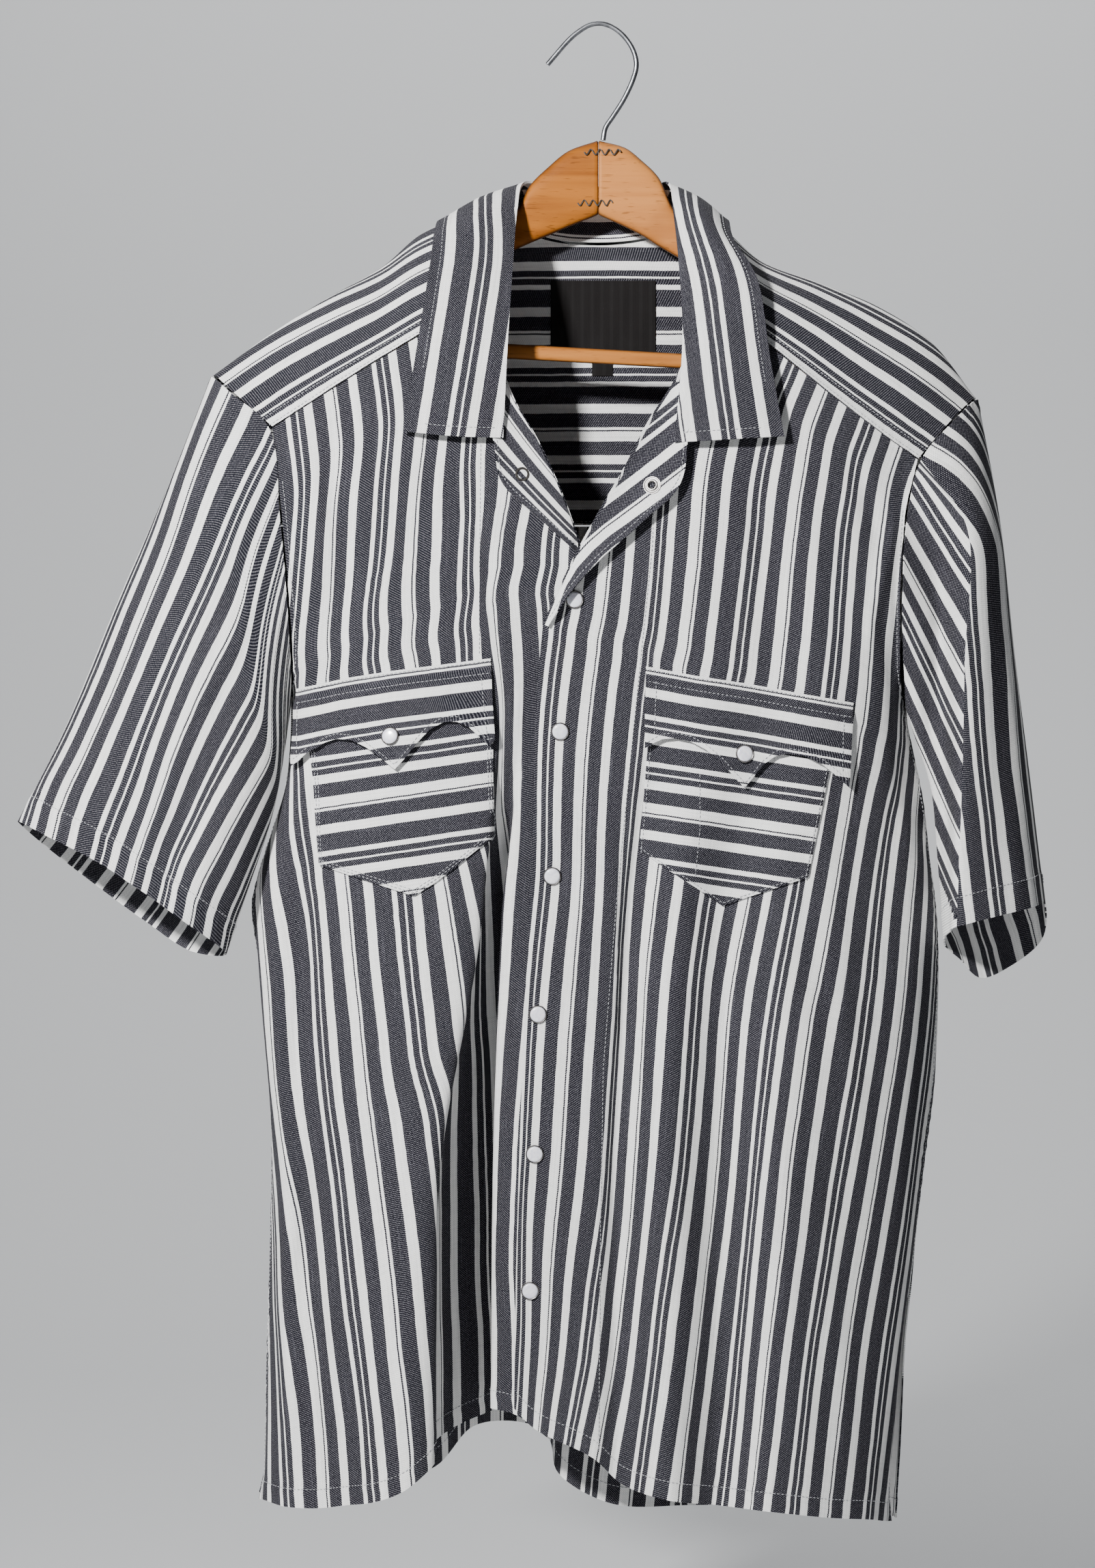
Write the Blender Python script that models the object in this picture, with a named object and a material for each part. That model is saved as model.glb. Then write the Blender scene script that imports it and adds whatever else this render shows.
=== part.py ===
"""Short-sleeved pearl snap shirt hung on a wooden hanger, cloth as thin faceted walls.

Metres, +Z up, +X to the right of someone facing the shirt, the shirt's front towards -Y.
The origin is the inside of the hook's bend, where the hanger hangs.

Tables are in millimetres as the shirt is seen from SEEN_FROM in front: x across, drop below
the hook, y the depth (minus is nearer). seen() turns such a point into its place.
"""
import math

import bmesh
import bpy
import numpy as np
from mathutils import Vector
from mathutils.bvhtree import BVHTree

# ---------------------------------------------------------------- sizes, millimetres
SEEN_FROM = 2494.0                     # how far in front the outline is measured from
SEEN_X, SEEN_DROP = -32.0, 475.0       # the point straight ahead of it
HOOK_DROP = -2.4                       # inside of the hook's bend in the tables
CLOTH = 1.2                            # wall of a single cloth in the solid
FOLDED = 1.6                           # wall of the collar, which is two cloths
PIECE_GAP = 0.9                        # drop between a yoke's edge and the panel under it
SNAP_R, SNAP_H = 5.4, 2.2              # pearl cap
RIM_R = 6.0                            # outside of the cap's metal rim
WOOD = 14.0                            # thickness of the hanger
WIRE = 3.2                             # hook wire
BAR_H, BAR_D = 9.4, 9.0                # trouser bar


def seen(x, drop, y):
    """Place of the point seen at x, drop when it is at depth y (millimetres in, metres out)."""
    k = 1 + y / SEEN_FROM
    z = -(SEEN_DROP + (drop - SEEN_DROP) * k) + HOOK_DROP
    return np.array([SEEN_X + (x - SEEN_X) * k, y, z]) / 1000


# ---------------------------------------------------------------- curves
def table(keys, values):
    """Smooth line through a table that never swings past its rows."""
    k, v = np.array(keys, float), np.array(values, float)
    h, d = np.diff(k), np.diff(v) / np.diff(k)
    m = np.zeros(len(k))
    m[0], m[-1] = d[0], d[-1]
    for i in range(1, len(k) - 1):
        if d[i - 1] * d[i] > 0:
            a, b = 2 * h[i] + h[i - 1], h[i] + 2 * h[i - 1]
            m[i] = (a + b) / (a / d[i - 1] + b / d[i])

    def at(q):
        q = min(max(q, k[0]), k[-1])
        i = int(min(np.searchsorted(k, q, side="right") - 1, len(k) - 2))
        t = (q - k[i]) / h[i]
        return (v[i] * (1 + 2 * t) * (1 - t) ** 2 + m[i] * h[i] * t * (1 - t) ** 2
                + v[i + 1] * t * t * (3 - 2 * t) + m[i + 1] * h[i] * t * t * (t - 1))

    return at


def through(points, sub, closed=False):
    """Rounded curve through the points, sub steps from one to the next."""
    p = np.array(points, float)
    if closed:
        p = np.vstack([p[-1:], p, p[:2]])
    h = np.maximum(np.linalg.norm(np.diff(p, axis=0), axis=1) ** 0.5, 1e-6)
    d = np.diff(p, axis=0) / h[:, None]
    m = np.zeros_like(p)
    m[0], m[-1] = d[0], d[-1]
    for i in range(1, len(p) - 1):
        m[i] = (d[i - 1] * h[i] + d[i] * h[i - 1]) / (h[i] + h[i - 1])
    out = []
    for i in range(1 if closed else 0, len(p) - (2 if closed else 1)):
        for t in np.arange(sub) / sub:
            out.append(p[i] * (1 + 2 * t) * (1 - t) ** 2 + m[i] * h[i] * t * (1 - t) ** 2
                       + p[i + 1] * t * t * (3 - 2 * t) + m[i + 1] * h[i] * t * t * (t - 1))
    if not closed:
        out.append(p[-1])
    return np.array(out)


def lofted(stations, sub_across, sub_along):
    """Grid of places through a net of seen points: stations[k] is one cross line."""
    net = np.array([[seen(*p) for p in s] for s in stations])
    along = np.array([through(net[:, j], sub_along) for j in range(net.shape[1])])
    return np.array([through(along[:, i], sub_across) for i in range(along.shape[1])])


# ---------------------------------------------------------------- solids
def new_object(name, mesh, material, where):
    o = bpy.data.objects.new(name, mesh)
    mesh.materials.append(material)
    where.objects.link(o)
    return o


def normals_of(grid, closed=False):
    if closed:
        ahead, back = np.roll(grid, -1, 1), np.roll(grid, 1, 1)
        across = ahead - back
    else:
        across = np.gradient(grid, axis=1)
    n = np.cross(across, np.gradient(grid, axis=0))
    return n / np.maximum(np.linalg.norm(n, axis=2, keepdims=True), 1e-12)


def wall(name, grid, thick, material, where, closed=False):
    """Closed solid of that thickness around a grid of points (rows, columns, 3)."""
    n = normals_of(grid, closed) * thick / 2000
    rows, cols = grid.shape[:2]
    bm = bmesh.new()
    side = [[[bm.verts.new(grid[i, j] + s * n[i, j]) for j in range(cols)]
             for i in range(rows)] for s in (1, -1)]
    last = cols if closed else cols - 1
    for k, s in enumerate(side):
        for i in range(rows - 1):
            for j in range(last):
                jj = (j + 1) % cols
                f = [s[i][j], s[i + 1][j], s[i + 1][jj], s[i][jj]]
                bm.faces.new(f if k else f[::-1])
    for i in (0, rows - 1):
        for j in range(last):
            jj = (j + 1) % cols
            f = [side[0][i][j], side[0][i][jj], side[1][i][jj], side[1][i][j]]
            bm.faces.new(f if i == 0 else f[::-1])
    if not closed:
        for j in (0, cols - 1):
            for i in range(rows - 1):
                f = [side[0][i][j], side[0][i + 1][j], side[1][i + 1][j], side[1][i][j]]
                bm.faces.new(f[::-1] if j == 0 else f)
    bmesh.ops.recalc_face_normals(bm, faces=bm.faces)
    bmesh.ops.triangulate(bm, faces=bm.faces)
    mesh = bpy.data.meshes.new(name)
    bm.to_mesh(mesh)
    bm.free()
    return new_object(name, mesh, material, where)


def rod(name, rings, material, where):
    """Solid through closed rings of the same number of points, with flat ends."""
    bm = bmesh.new()
    vs = [[bm.verts.new(p) for p in r] for r in rings]
    n = len(vs[0])
    for a, b in zip(vs, vs[1:]):
        for j in range(n):
            bm.faces.new([a[j], a[(j + 1) % n], b[(j + 1) % n], b[j]])
    bm.faces.new(vs[0][::-1])
    bm.faces.new(vs[-1])
    bmesh.ops.recalc_face_normals(bm, faces=bm.faces)
    bmesh.ops.triangulate(bm, faces=bm.faces)
    mesh = bpy.data.meshes.new(name)
    bm.to_mesh(mesh)
    bm.free()
    return new_object(name, mesh, material, where)


def wire(name, points, radius, material, where):
    """Round wire along the points, with closed ends."""
    c = bpy.data.curves.new(name, "CURVE")
    c.dimensions, c.bevel_depth, c.bevel_resolution, c.use_fill_caps = "3D", radius, 2, True
    s = c.splines.new("POLY")
    s.points.add(len(points) - 1)
    for q, p in zip(s.points, points):
        q.co = (*p, 1)
    o = bpy.data.objects.new(name + "_line", c)
    bpy.context.scene.collection.objects.link(o)
    mesh = bpy.data.meshes.new_from_object(o.evaluated_get(bpy.context.evaluated_depsgraph_get()))
    bpy.data.objects.remove(o)
    bm = bmesh.new()
    bm.from_mesh(mesh)
    bmesh.ops.remove_doubles(bm, verts=bm.verts, dist=1e-6)
    bmesh.ops.recalc_face_normals(bm, faces=bm.faces)
    bm.to_mesh(mesh)
    bm.free()
    return new_object(name, mesh, material, where)


def turned(name, profile, place, axis, material, where, sides=20):
    """Solid turned from (radius, height) rows in millimetres, height along the axis."""
    q = Vector((0, 0, 1)).rotation_difference(Vector(axis)).to_matrix()
    rings = []
    for r, h in profile:
        rings.append([Vector(place) + q @ Vector((
            r / 1000 * math.cos(2 * math.pi * i / sides),
            r / 1000 * math.sin(2 * math.pi * i / sides), h / 1000)) for i in range(sides)])
    return rod(name, rings, material, where)


def washer(name, outer, inner, height, place, axis, material, where, sides=20):
    """Flat ring standing on a surface."""
    q = Vector((0, 0, 1)).rotation_difference(Vector(axis)).to_matrix()
    grid = np.array([[list(Vector(place) + q @ Vector((
        r / 1000 * math.cos(2 * math.pi * j / sides),
        r / 1000 * math.sin(2 * math.pi * j / sides), height / 2000))) for j in range(sides)]
        for r in (inner, outer)])
    return wall(name, grid, height, material, where, closed=True)


class Surface:
    """Front of a panel, found by looking straight at it."""

    def __init__(self, grid):
        rows, cols = grid.shape[:2]
        v = [Vector(p) for p in grid.reshape(-1, 3)]
        f = [(i * cols + j, i * cols + j + 1, (i + 1) * cols + j + 1, (i + 1) * cols + j)
             for i in range(rows - 1) for j in range(cols - 1)]
        self.tree = BVHTree.FromPolygons(v, f)
        self.eye = Vector(seen(SEEN_X, SEEN_DROP, -SEEN_FROM + 1))

    def at(self, x, drop, lift):
        """Place lifted off the panel by lift millimetres, and the direction off it."""
        aim = (Vector(seen(x, drop, 0)) - self.eye).normalized()
        hit, n, _, _ = self.tree.ray_cast(self.eye, aim)
        if hit is None:
            raise ValueError(f"nothing seen at {x}, {drop}")
        if n.dot(aim) > 0:
            n = -n
        return hit + n * lift / 1000, n


def patch(surface, stations, lift, sub_across, sub_along):
    """Grid on a panel through a net of (x, drop), lifted off it."""
    net = np.array([[(x, d, 0.0) for x, d in s] for s in stations])
    along = np.array([through(net[:, j], sub_along) for j in range(net.shape[1])])
    flat = np.array([through(along[:, i], sub_across) for i in range(along.shape[1])])
    return np.array([[list(surface.at(p[0], p[1], lift)[0]) for p in r] for r in flat])


# ---------------------------------------------------------------- front and back panels
def panel(lines, start, end, rows, sub):
    """Cloth hung on its fold lines. Each line: top drop, hem drop, x and y down the levels."""
    t = np.linspace(0, 1, rows + 1)
    cols = []
    for line in [start, *lines, end]:
        keys, xs, ys, top, hem = line
        fx, fy = table(keys, xs), table(keys, ys)
        d = top + (hem - top) * t
        cols.append([seen(fx(q), q, fy(q)) for q in d])
    net = np.array(cols)
    return np.array([through(net[:, i], sub) for i in range(rows + 1)])


def folds(levels, rows, seam):
    """Fold lines from a table: name, x down the levels, y down the levels, hem drop."""
    out = []
    for _, xs, ys, hem in rows:
        top = seam(xs[0])
        out.append(([top, *levels, hem], xs, ys, top, hem))
    return out


def edge(rows):
    """Edge of a panel from (drop, x, y) rows."""
    d, x, y = zip(*rows)
    return (list(d), list(x), list(y), d[0], d[-1])


LEVELS = (330, 430, 560, 740)
#                name      x at the seam, 330, 430, 560, 740, hem      y at the same places        hem
LEFT_FOLDS = [("roll", (-198, -190, -188, -214, -203, -209), (-38, -41, -24, -10, -8, -6), 926),
              ("side", (-186, -180, -178, -204, -196, -196), (-42, -45, -34, -24, -24, -26), 930),
              ("dip", (-170, -164, -168, -187, -182, -178), (-43, -44, -37, -27, -26, -34), 931),
              ("near", (-152, -146, -148, -168, -166, -158), (-45, -48, -46, -43, -42, -50), 929),
              ("face", (-130, -124, -124, -138, -142, -140), (-46, -50, -52, -55, -59, -66), 927),
              ("bulge", (-112, -103, -88, -100, -121, -122), (-46, -50, -53, -60, -71, -75), 920),
              ("brow", (-100, -84, -65, -74, -102, -104), (-46, -49, -52, -54, -66, -66), 903),
              ("tuck", (-94, -79, -62, -77, -104, -107), (-45, -49, -51, -43, -38, -36), 893),
              ("floor", (-88, -73, -59, -70, -86, -90), (-45, -48, -50, -30, -4, 0), 879),
              ("channel", (-84, -64, -53, -57, -59, -59), (-45, -48, -49, -21, 8, 12), 866),
              ("lip", (-80, -53, -46, -60, -66, -67), (-44, -47, -47, -38, -27, -24), 868),
              ("lap", (-77, -32, -38, -44, -50, -52), (-44, -46, -46, -42, -40, -33), 872)]
RIGHT_FOLDS = [("snaps", (78, 2, -22, -30, -41, -40), (-44, -50, -51, -46, -44, -38), 881),
               ("stitch", (86, 33, 26, 11, 0, -4), (-45, -51, -51, -45, -44, -40), 899),
               ("crease", (94, 46, 38, 22, 12, 14), (-45, -50, -50, -39, -37, -34), 915),
               ("crest", (108, 74, 70, 50, 44, 44), (-46, -51, -52, -52, -54, -56), 926),
               ("valley", (124, 106, 102, 80, 78, 76), (-46, -48, -48, -42, -38, -36), 929),
               ("swell", (144, 140, 136, 120, 112, 106), (-44, -46, -50, -53, -56, -60), 933),
               ("side", (166, 166, 160, 164, 154, 146), (-40, -41, -44, -42, -42, -46), 937),
               ("turn", (184, 183, 180, 198, 187, 171), (-34, -36, -34, -24, -22, -26), 938),
               ("roll", (194, 189, 187, 209, 198, 180), (-31, -34, -24, -9, -7, -9), 939)]
BACK_FOLDS = [("roll_left", (-196, -190, -186, -213, -203, -207), (35, 30, 12, 16, 18, 22), 920),
              ("side_left", (-170, -164, -162, -190, -185, -185), (41, 42, 36, 38, 42, 44), 917),
              ("blade_left", (-118, -114, -112, -130, -132, -134), (47, 48, 48, 52, 56, 58), 913),
              ("fold_1", (-86, -86, -88, -98, -102, -103), (48, 49, 50, 54, 56, 58), 905),
              ("fold_2", (-60, -60, -62, -70, -75, -78), (49, 49, 50, 52, 52, 54), 879),
              ("fold_3", (-30, -30, -32, -36, -42, -47), (49, 49, 50, 52, 54, 58), 877),
              ("fold_4", (-10, -10, -10, -16, -26, -31), (49, 49, 50, 48, 44, 40), 887),
              ("fold_5", (8, 8, 10, 2, -14, -25), (49, 49, 50, 46, 34, 22), 909),
              ("fold_6", (40, 40, 40, 36, 24, 8), (49, 49, 50, 46, 36, 14), 928),
              ("fold_7", (82, 82, 84, 84, 74, 60), (48, 48, 49, 48, 46, 26), 929),
              ("blade_right", (122, 122, 122, 136, 126, 116), (45, 46, 46, 48, 50, 44), 928),
              ("side_right", (162, 158, 156, 180, 168, 158), (40, 40, 37, 40, 40, 38), 929),
              ("roll_right", (188, 184, 180, 207, 194, 186), (34, 29, 12, 18, 20, 22), 936)]
#            drop, x, y down the armhole and the side seam
LEFT_SIDE = [(250, -205, -33), (308, -199, -38), (368, -194, -36), (405, -192, -24),
             (427, -192, -8), (476, -196, -2), (505, -205, 0), (536, -215, 1), (552, -218, 2),
             (587, -213, 2), (632, -207, 3), (670, -205, 4), (745, -206, 5), (854, -209, 7),
             (907, -210, 8), (925, -213, 8)]
RIGHT_SIDE = [(270, 201, -30), (308, 193, -34), (368, 190, -34), (405, 190, -25), (430, 193, -8),
              (454, 198, -2), (490, 205, 0), (519, 208, 2), (561, 213, 4), (587, 214, 5),
              (654, 212, 6), (714, 205, 6), (755, 200, 6), (790, 196, 6), (827, 187, 4),
              (857, 183, 2), (900, 182, 1), (939, 184, 1)]
LEFT_BACK = [(312.9, -208, 30), (368, -205, 27), (405, -200, 16), (428, -193, -6), (476, -196, -1),
             (505, -205, 1), (536, -215, 2), (552, -218, 3), (587, -213, 3), (632, -207, 4),
             (670, -205, 5), (745, -206, 6), (854, -209, 8), (907, -210, 9), (921, -213, 9.5)]
RIGHT_BACK = [(312.9, 206, 30), (368, 203, 27), (405, 199, 16), (431, 194, -6), (454, 198, -1),
              (490, 205, 1), (519, 208, 3), (561, 213, 5), (587, 214, 6), (654, 212, 7),
              (714, 205, 7), (755, 200, 7.5), (790, 197, 9), (827, 193, 12), (892, 190, 13),
              (937, 187, 12)]
#           the left front's inner edge: neck, roll of the lapel, then the lap under the snaps
LEFT_EDGE = [(172, -75, -44), (215, -60, -45), (236, -51, -46), (256, -39, -46), (279, -28, -46),
             (301, -19, -46), (324, -11, -46), (345, -3, -46), (362, -1, -46), (442, -9, -46),
             (533, -14, -42), (620, -23, -41), (708, -25, -41), (794, -28, -39), (888, -30, -35)]
RIGHT_EDGE = [(172, 70, -44), (222, 47, -47), (247, 31, -49), (276, 16, -50), (300, 2, -51),
              (339, -19, -51), (359, -28, -51), (376, -35, -51), (540, -43, -46), (794, -52, -43),
              (868, -53, -38)]
YOKE_LEFT = table((-205, -162, -116, -75), (250, 222, 194, 172))    # drop of the yoke seam
YOKE_RIGHT = table((70, 107, 154, 201), (172, 198, 235, 270))

# ---------------------------------------------------------------- yokes, neck to armhole
#            behind the ridge       ridge              front slope        front seam
YOKE_FRONT_LEFT = [
    [(-60, 114, 9), (-61, 111, -1), (-67, 135, -30), (-76, 171, -43)],
    [(-82, 124, 11), (-82, 117, -1), (-88, 145, -33), (-96, 181, -45)],
    [(-111, 137, 12), (-111, 129, -2), (-114, 156, -35), (-117, 193.5, -46)],
    [(-136, 158, 9), (-136, 150, -5), (-139, 173, -34), (-141, 208, -45)],
    [(-171, 179, 5), (-171, 170, -10), (-168, 189, -34), (-163, 221.5, -44)],
    [(-207, 202, 1), (-206, 192, -13), (-197, 209, -33), (-184, 235, -40)],
    [(-240, 226, 1), (-242, 218, -11), (-229, 229, -27), (-206, 249, -34)]]
YOKE_FRONT_RIGHT = [
    [(56, 116, 9), (57, 113, -1), (62, 137, -30), (71, 171, -44)],
    [(80, 134, 11), (80, 127, -2), (84, 150, -33), (90, 185, -45)],
    [(102, 152, 10), (102, 146, -4), (105, 166, -34), (109, 198.5, -46)],
    [(139, 167, 7), (139, 160, -8), (138, 184, -34), (133, 217.5, -45)],
    [(176, 183, 4), (176, 175, -11), (170, 201, -33), (160, 238.5, -41)],
    [(210, 206, 2), (209, 197, -12), (200, 223, -30), (182, 255, -36)],
    [(235, 239, 3), (237, 232, -9), (223, 245, -24), (202, 269, -31)]]
#            top edge             middle             seam to the back panel
YOKE_BACK = [
    [(-240, 228, 3), (-224, 262, 24), (-208, 312, 30)],
    [(-207, 204, 3.5), (-200, 246, 28), (-186, 312, 37)],
    [(-171, 181, 7.5), (-168, 234, 34), (-156, 312, 43)],
    [(-136, 160, 11.5), (-137, 224, 36), (-128, 312, 46)],
    [(-111, 139, 14.5), (-111, 214, 36), (-100, 312, 47.5)],
    [(-82, 126, 13.5), (-84, 204, 34), (-72, 312, 48.5)],
    [(-60, 117, 11.5), (-62, 200, 32), (-52, 312, 49)],
    [(-38, 131, 16), (-38, 200, 31), (-30, 312, 49)],
    [(0, 136, 19), (0, 204, 31), (0, 312, 49)],
    [(36, 131, 16), (36, 200, 31), (30, 312, 49)],
    [(57, 119, 11.5), (58, 200, 32), (52, 312, 49)],
    [(80, 136, 13.5), (80, 204, 34), (72, 312, 48.5)],
    [(102, 155, 12.5), (104, 214, 36), (100, 312, 47)],
    [(139, 169, 9.5), (138, 226, 36), (130, 312, 45)],
    [(176, 185, 6.5), (170, 240, 33), (160, 312, 41)],
    [(210, 208, 4.5), (202, 256, 28), (186, 312, 36)],
    [(235, 241, 5.5), (223, 270, 24), (206, 312, 30)]]
#            roll line            middle             outer edge, left point to right point
COLLAR = [
    [(-60, 257, -53), (-91, 256, -55), (-123, 253, -53)],
    [(-57, 196, -51), (-85, 195, -54), (-113, 192, -52)],
    [(-54, 150, -38), (-80, 150, -44), (-106, 147, -45)],
    [(-51, 113, -18), (-78, 118, -28), (-103, 128, -30)],
    [(-47, 97, 3), (-71, 105, 4), (-98, 121, 2)],
    [(-36, 97, 19), (-55, 116, 31), (-78, 136, 38)],
    [(0, 99, 26), (0, 128, 38), (0, 165, 42)],
    [(34, 98, 19), (52, 118, 31), (74, 142, 38)],
    [(44, 97, 3), (63, 106, 4), (81, 121, 2)],
    [(47, 113, -18), (66, 119, -28), (85, 133, -30)],
    [(51, 150, -38), (76, 150, -46), (100, 157, -47)],
    [(53, 196, -52), (80, 198, -56), (108, 205, -55)],
    [(48, 260, -56), (82, 258, -58), (117, 256, -56)]]
#            neck seam            top, just under the roll
STAND = [
    [(-62, 150, -34), (-57, 146, -35)],
    [(-59, 121, -16), (-54, 116, -16.5)],
    [(-57, 112, -5), (-52, 106.5, -5)],
    [(-54, 113, 6), (-48.5, 101.5, 5)],
    [(-37, 129, 15), (-37, 101, 17.5)],
    [(0, 134, 18), (0, 102.5, 24)],
    [(35, 129, 15), (35, 101.5, 17.5)],
    [(51, 114, 6), (45.5, 101.5, 5)],
    [(53, 114, -5), (49, 106.5, -5)],
    [(56, 123, -16), (51, 116, -16.5)],
    [(58, 150, -34), (54, 146, -35)]]
#            roll of the lapel, then its outer edge, (x, drop) from the neck down
LAPEL_LEFT = [[(-60.5, 216), (-74, 218)], [(-53, 233), (-71, 238)], [(-41, 254), (-66, 262)],
              [(-29.5, 278), (-60, 286)], [(-20.5, 300), (-36, 307)], [(-13, 322), (-15, 325)]]
LAPEL_RIGHT = [[(48.5, 222), (64, 222)], [(32.5, 247), (57, 252)], [(17.5, 276), (51, 284)],
               [(3.5, 300), (30, 307)], [(-17.5, 339), (-6, 339)], [(-26.5, 359), (-24.5, 358)],
               [(-33.5, 375), (-32, 376)]]
POCKET_LEFT = [[(-183, 452), (-128, 446), (-69, 428)], [(-180, 490), (-124, 490), (-70, 476)],
               [(-175, 525), (-120, 532), (-75, 509)], [(-165, 529), (-117, 545), (-86, 518)]]
POCKET_RIGHT = [[(32, 438), (86, 452), (146, 460)], [(29, 480), (82, 494), (139, 502)],
                [(26, 515), (79, 538), (132, 534)], [(38, 524), (78, 551), (120, 539)]]
FLAP_LEFT = [[(-189, 415), (-161, 409), (-130, 404), (-99, 400), (-68, 396)],
             [(-188, 461), (-161, 447), (-127, 464), (-92, 436), (-66, 447)]]
FLAP_RIGHT = [[(30, 401), (62, 407), (94, 412), (127, 418), (160, 424)],
              [(28, 450), (50, 446), (92, 476), (122, 456), (155, 475)]]
#            around each ring: shoulder top, front four, underarm, back four
SLEEVE_LEFT = [
    [(-243.5, 219, -11), (-230, 230, -28), (-207.3, 251, -34), (-200.5, 308, -39.5),
     (-195.5, 370, -37.5), (-194.5, 428, -9), (-206, 372, 28), (-209.5, 314, 31),
     (-225.5, 263, 25), (-241.5, 229, 3)],
    [(-272, 291, -6), (-259, 300, -29), (-242, 316, -41), (-226, 352, -46),
     (-209, 407, -43), (-198, 455, -15), (-212, 402, 14), (-228, 347, 26),
     (-246, 309, 27), (-266, 296, 14)],
    [(-304, 364, -4), (-290, 371, -28), (-270, 385, -42), (-248, 411, -50),
     (-223, 449, -47), (-205, 492, -19), (-228, 454, 7), (-252, 414, 21),
     (-276, 384, 24), (-298, 369, 14)],
    [(-334, 437, -2), (-318, 444, -26), (-293, 457, -42), (-266, 478, -52),
     (-239, 508, -49), (-219, 536, -22), (-244, 516, 2), (-270, 485, 16),
     (-298, 462, 20), (-326, 442, 12)],
    [(-365, 499, 0), (-347, 508, -22), (-317, 523, -40), (-286, 544, -52),
     (-259, 563, -47), (-235, 582, -22), (-257, 580, -2), (-286, 561, 10),
     (-324, 533, 16), (-352, 511, 10)]]
SLEEVE_RIGHT = [
    [(238.5, 233, -9), (224, 246, -25), (203.3, 271, -31.5), (194.5, 308, -35.5),
     (191.5, 370, -35.5), (195.5, 432, -9), (205, 372, 28), (208, 316, 31),
     (224.5, 271, 25), (237, 241, 5)],
    [(253, 312, -4), (248, 308, -30), (232, 313, -45), (213, 337, -29),
     (203, 392, -30), (202, 452, -9), (212, 402, 20), (224, 347, 28),
     (238, 312, 26), (250, 308, 12)],
    [(262, 395, -2), (256, 392, -30), (231, 396, -49), (218, 410, -25),
     (211, 438, -19), (210, 478, -4), (217, 442, 16), (232, 410, 26),
     (248, 397, 26), (260, 395, 12)],
    [(272, 475, 0), (265, 474, -30), (229, 480, -52), (220, 488, -25),
     (216, 505, -15), (215, 530, -2), (223, 514, 14), (240, 494, 24),
     (256, 481, 24), (270, 476, 12)],
    [(281, 551, 0), (272, 553, -32), (226, 565, -52), (222, 568, -28),
     (219, 571, -14), (219, 577, -2), (228, 585, 7), (241, 597, 14),
     (259, 590, 18), (279, 573, 12)]]
#            x, top, bottom of the hanger's wood, from the joint out
ARM_LEFT = [(-0.6, 70, 117), (-18, 76, 124), (-32, 87, 130), (-43, 98, 134.5), (-52, 113.5, 138.5),
            (-82, 121, 151), (-96, 128, 157), (-111, 134, 164), (-136, 155, 178), (-171, 175, 197),
            (-196, 192, 211), (-203, 200, 209)]
ARM_RIGHT = [(0.6, 70, 117), (16, 74, 124), (28, 83, 130), (38, 93, 136.5), (49, 115, 143),
             (80, 131, 161), (102, 150, 174), (139, 165, 189), (174, 181, 207),
             (191, 193, 217), (199, 202, 214)]
HOOK = [(3, 69.6), (4.5, 62), (9, 55), (16, 44), (22, 31), (24, 22), (22, 13), (16, 4), (9, -1.5),
        (2, -3.8), (-5, -3), (-12, 1), (-18, 6), (-32, 22)]
FRONT_SNAPS = [(-15, 359), (-24, 442), (-29, 533), (-38, 620), (-40, 708), (-43, 794)]
FLAP_SNAPS = [("left", -131, 445), ("right", 92, 456)]


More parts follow.
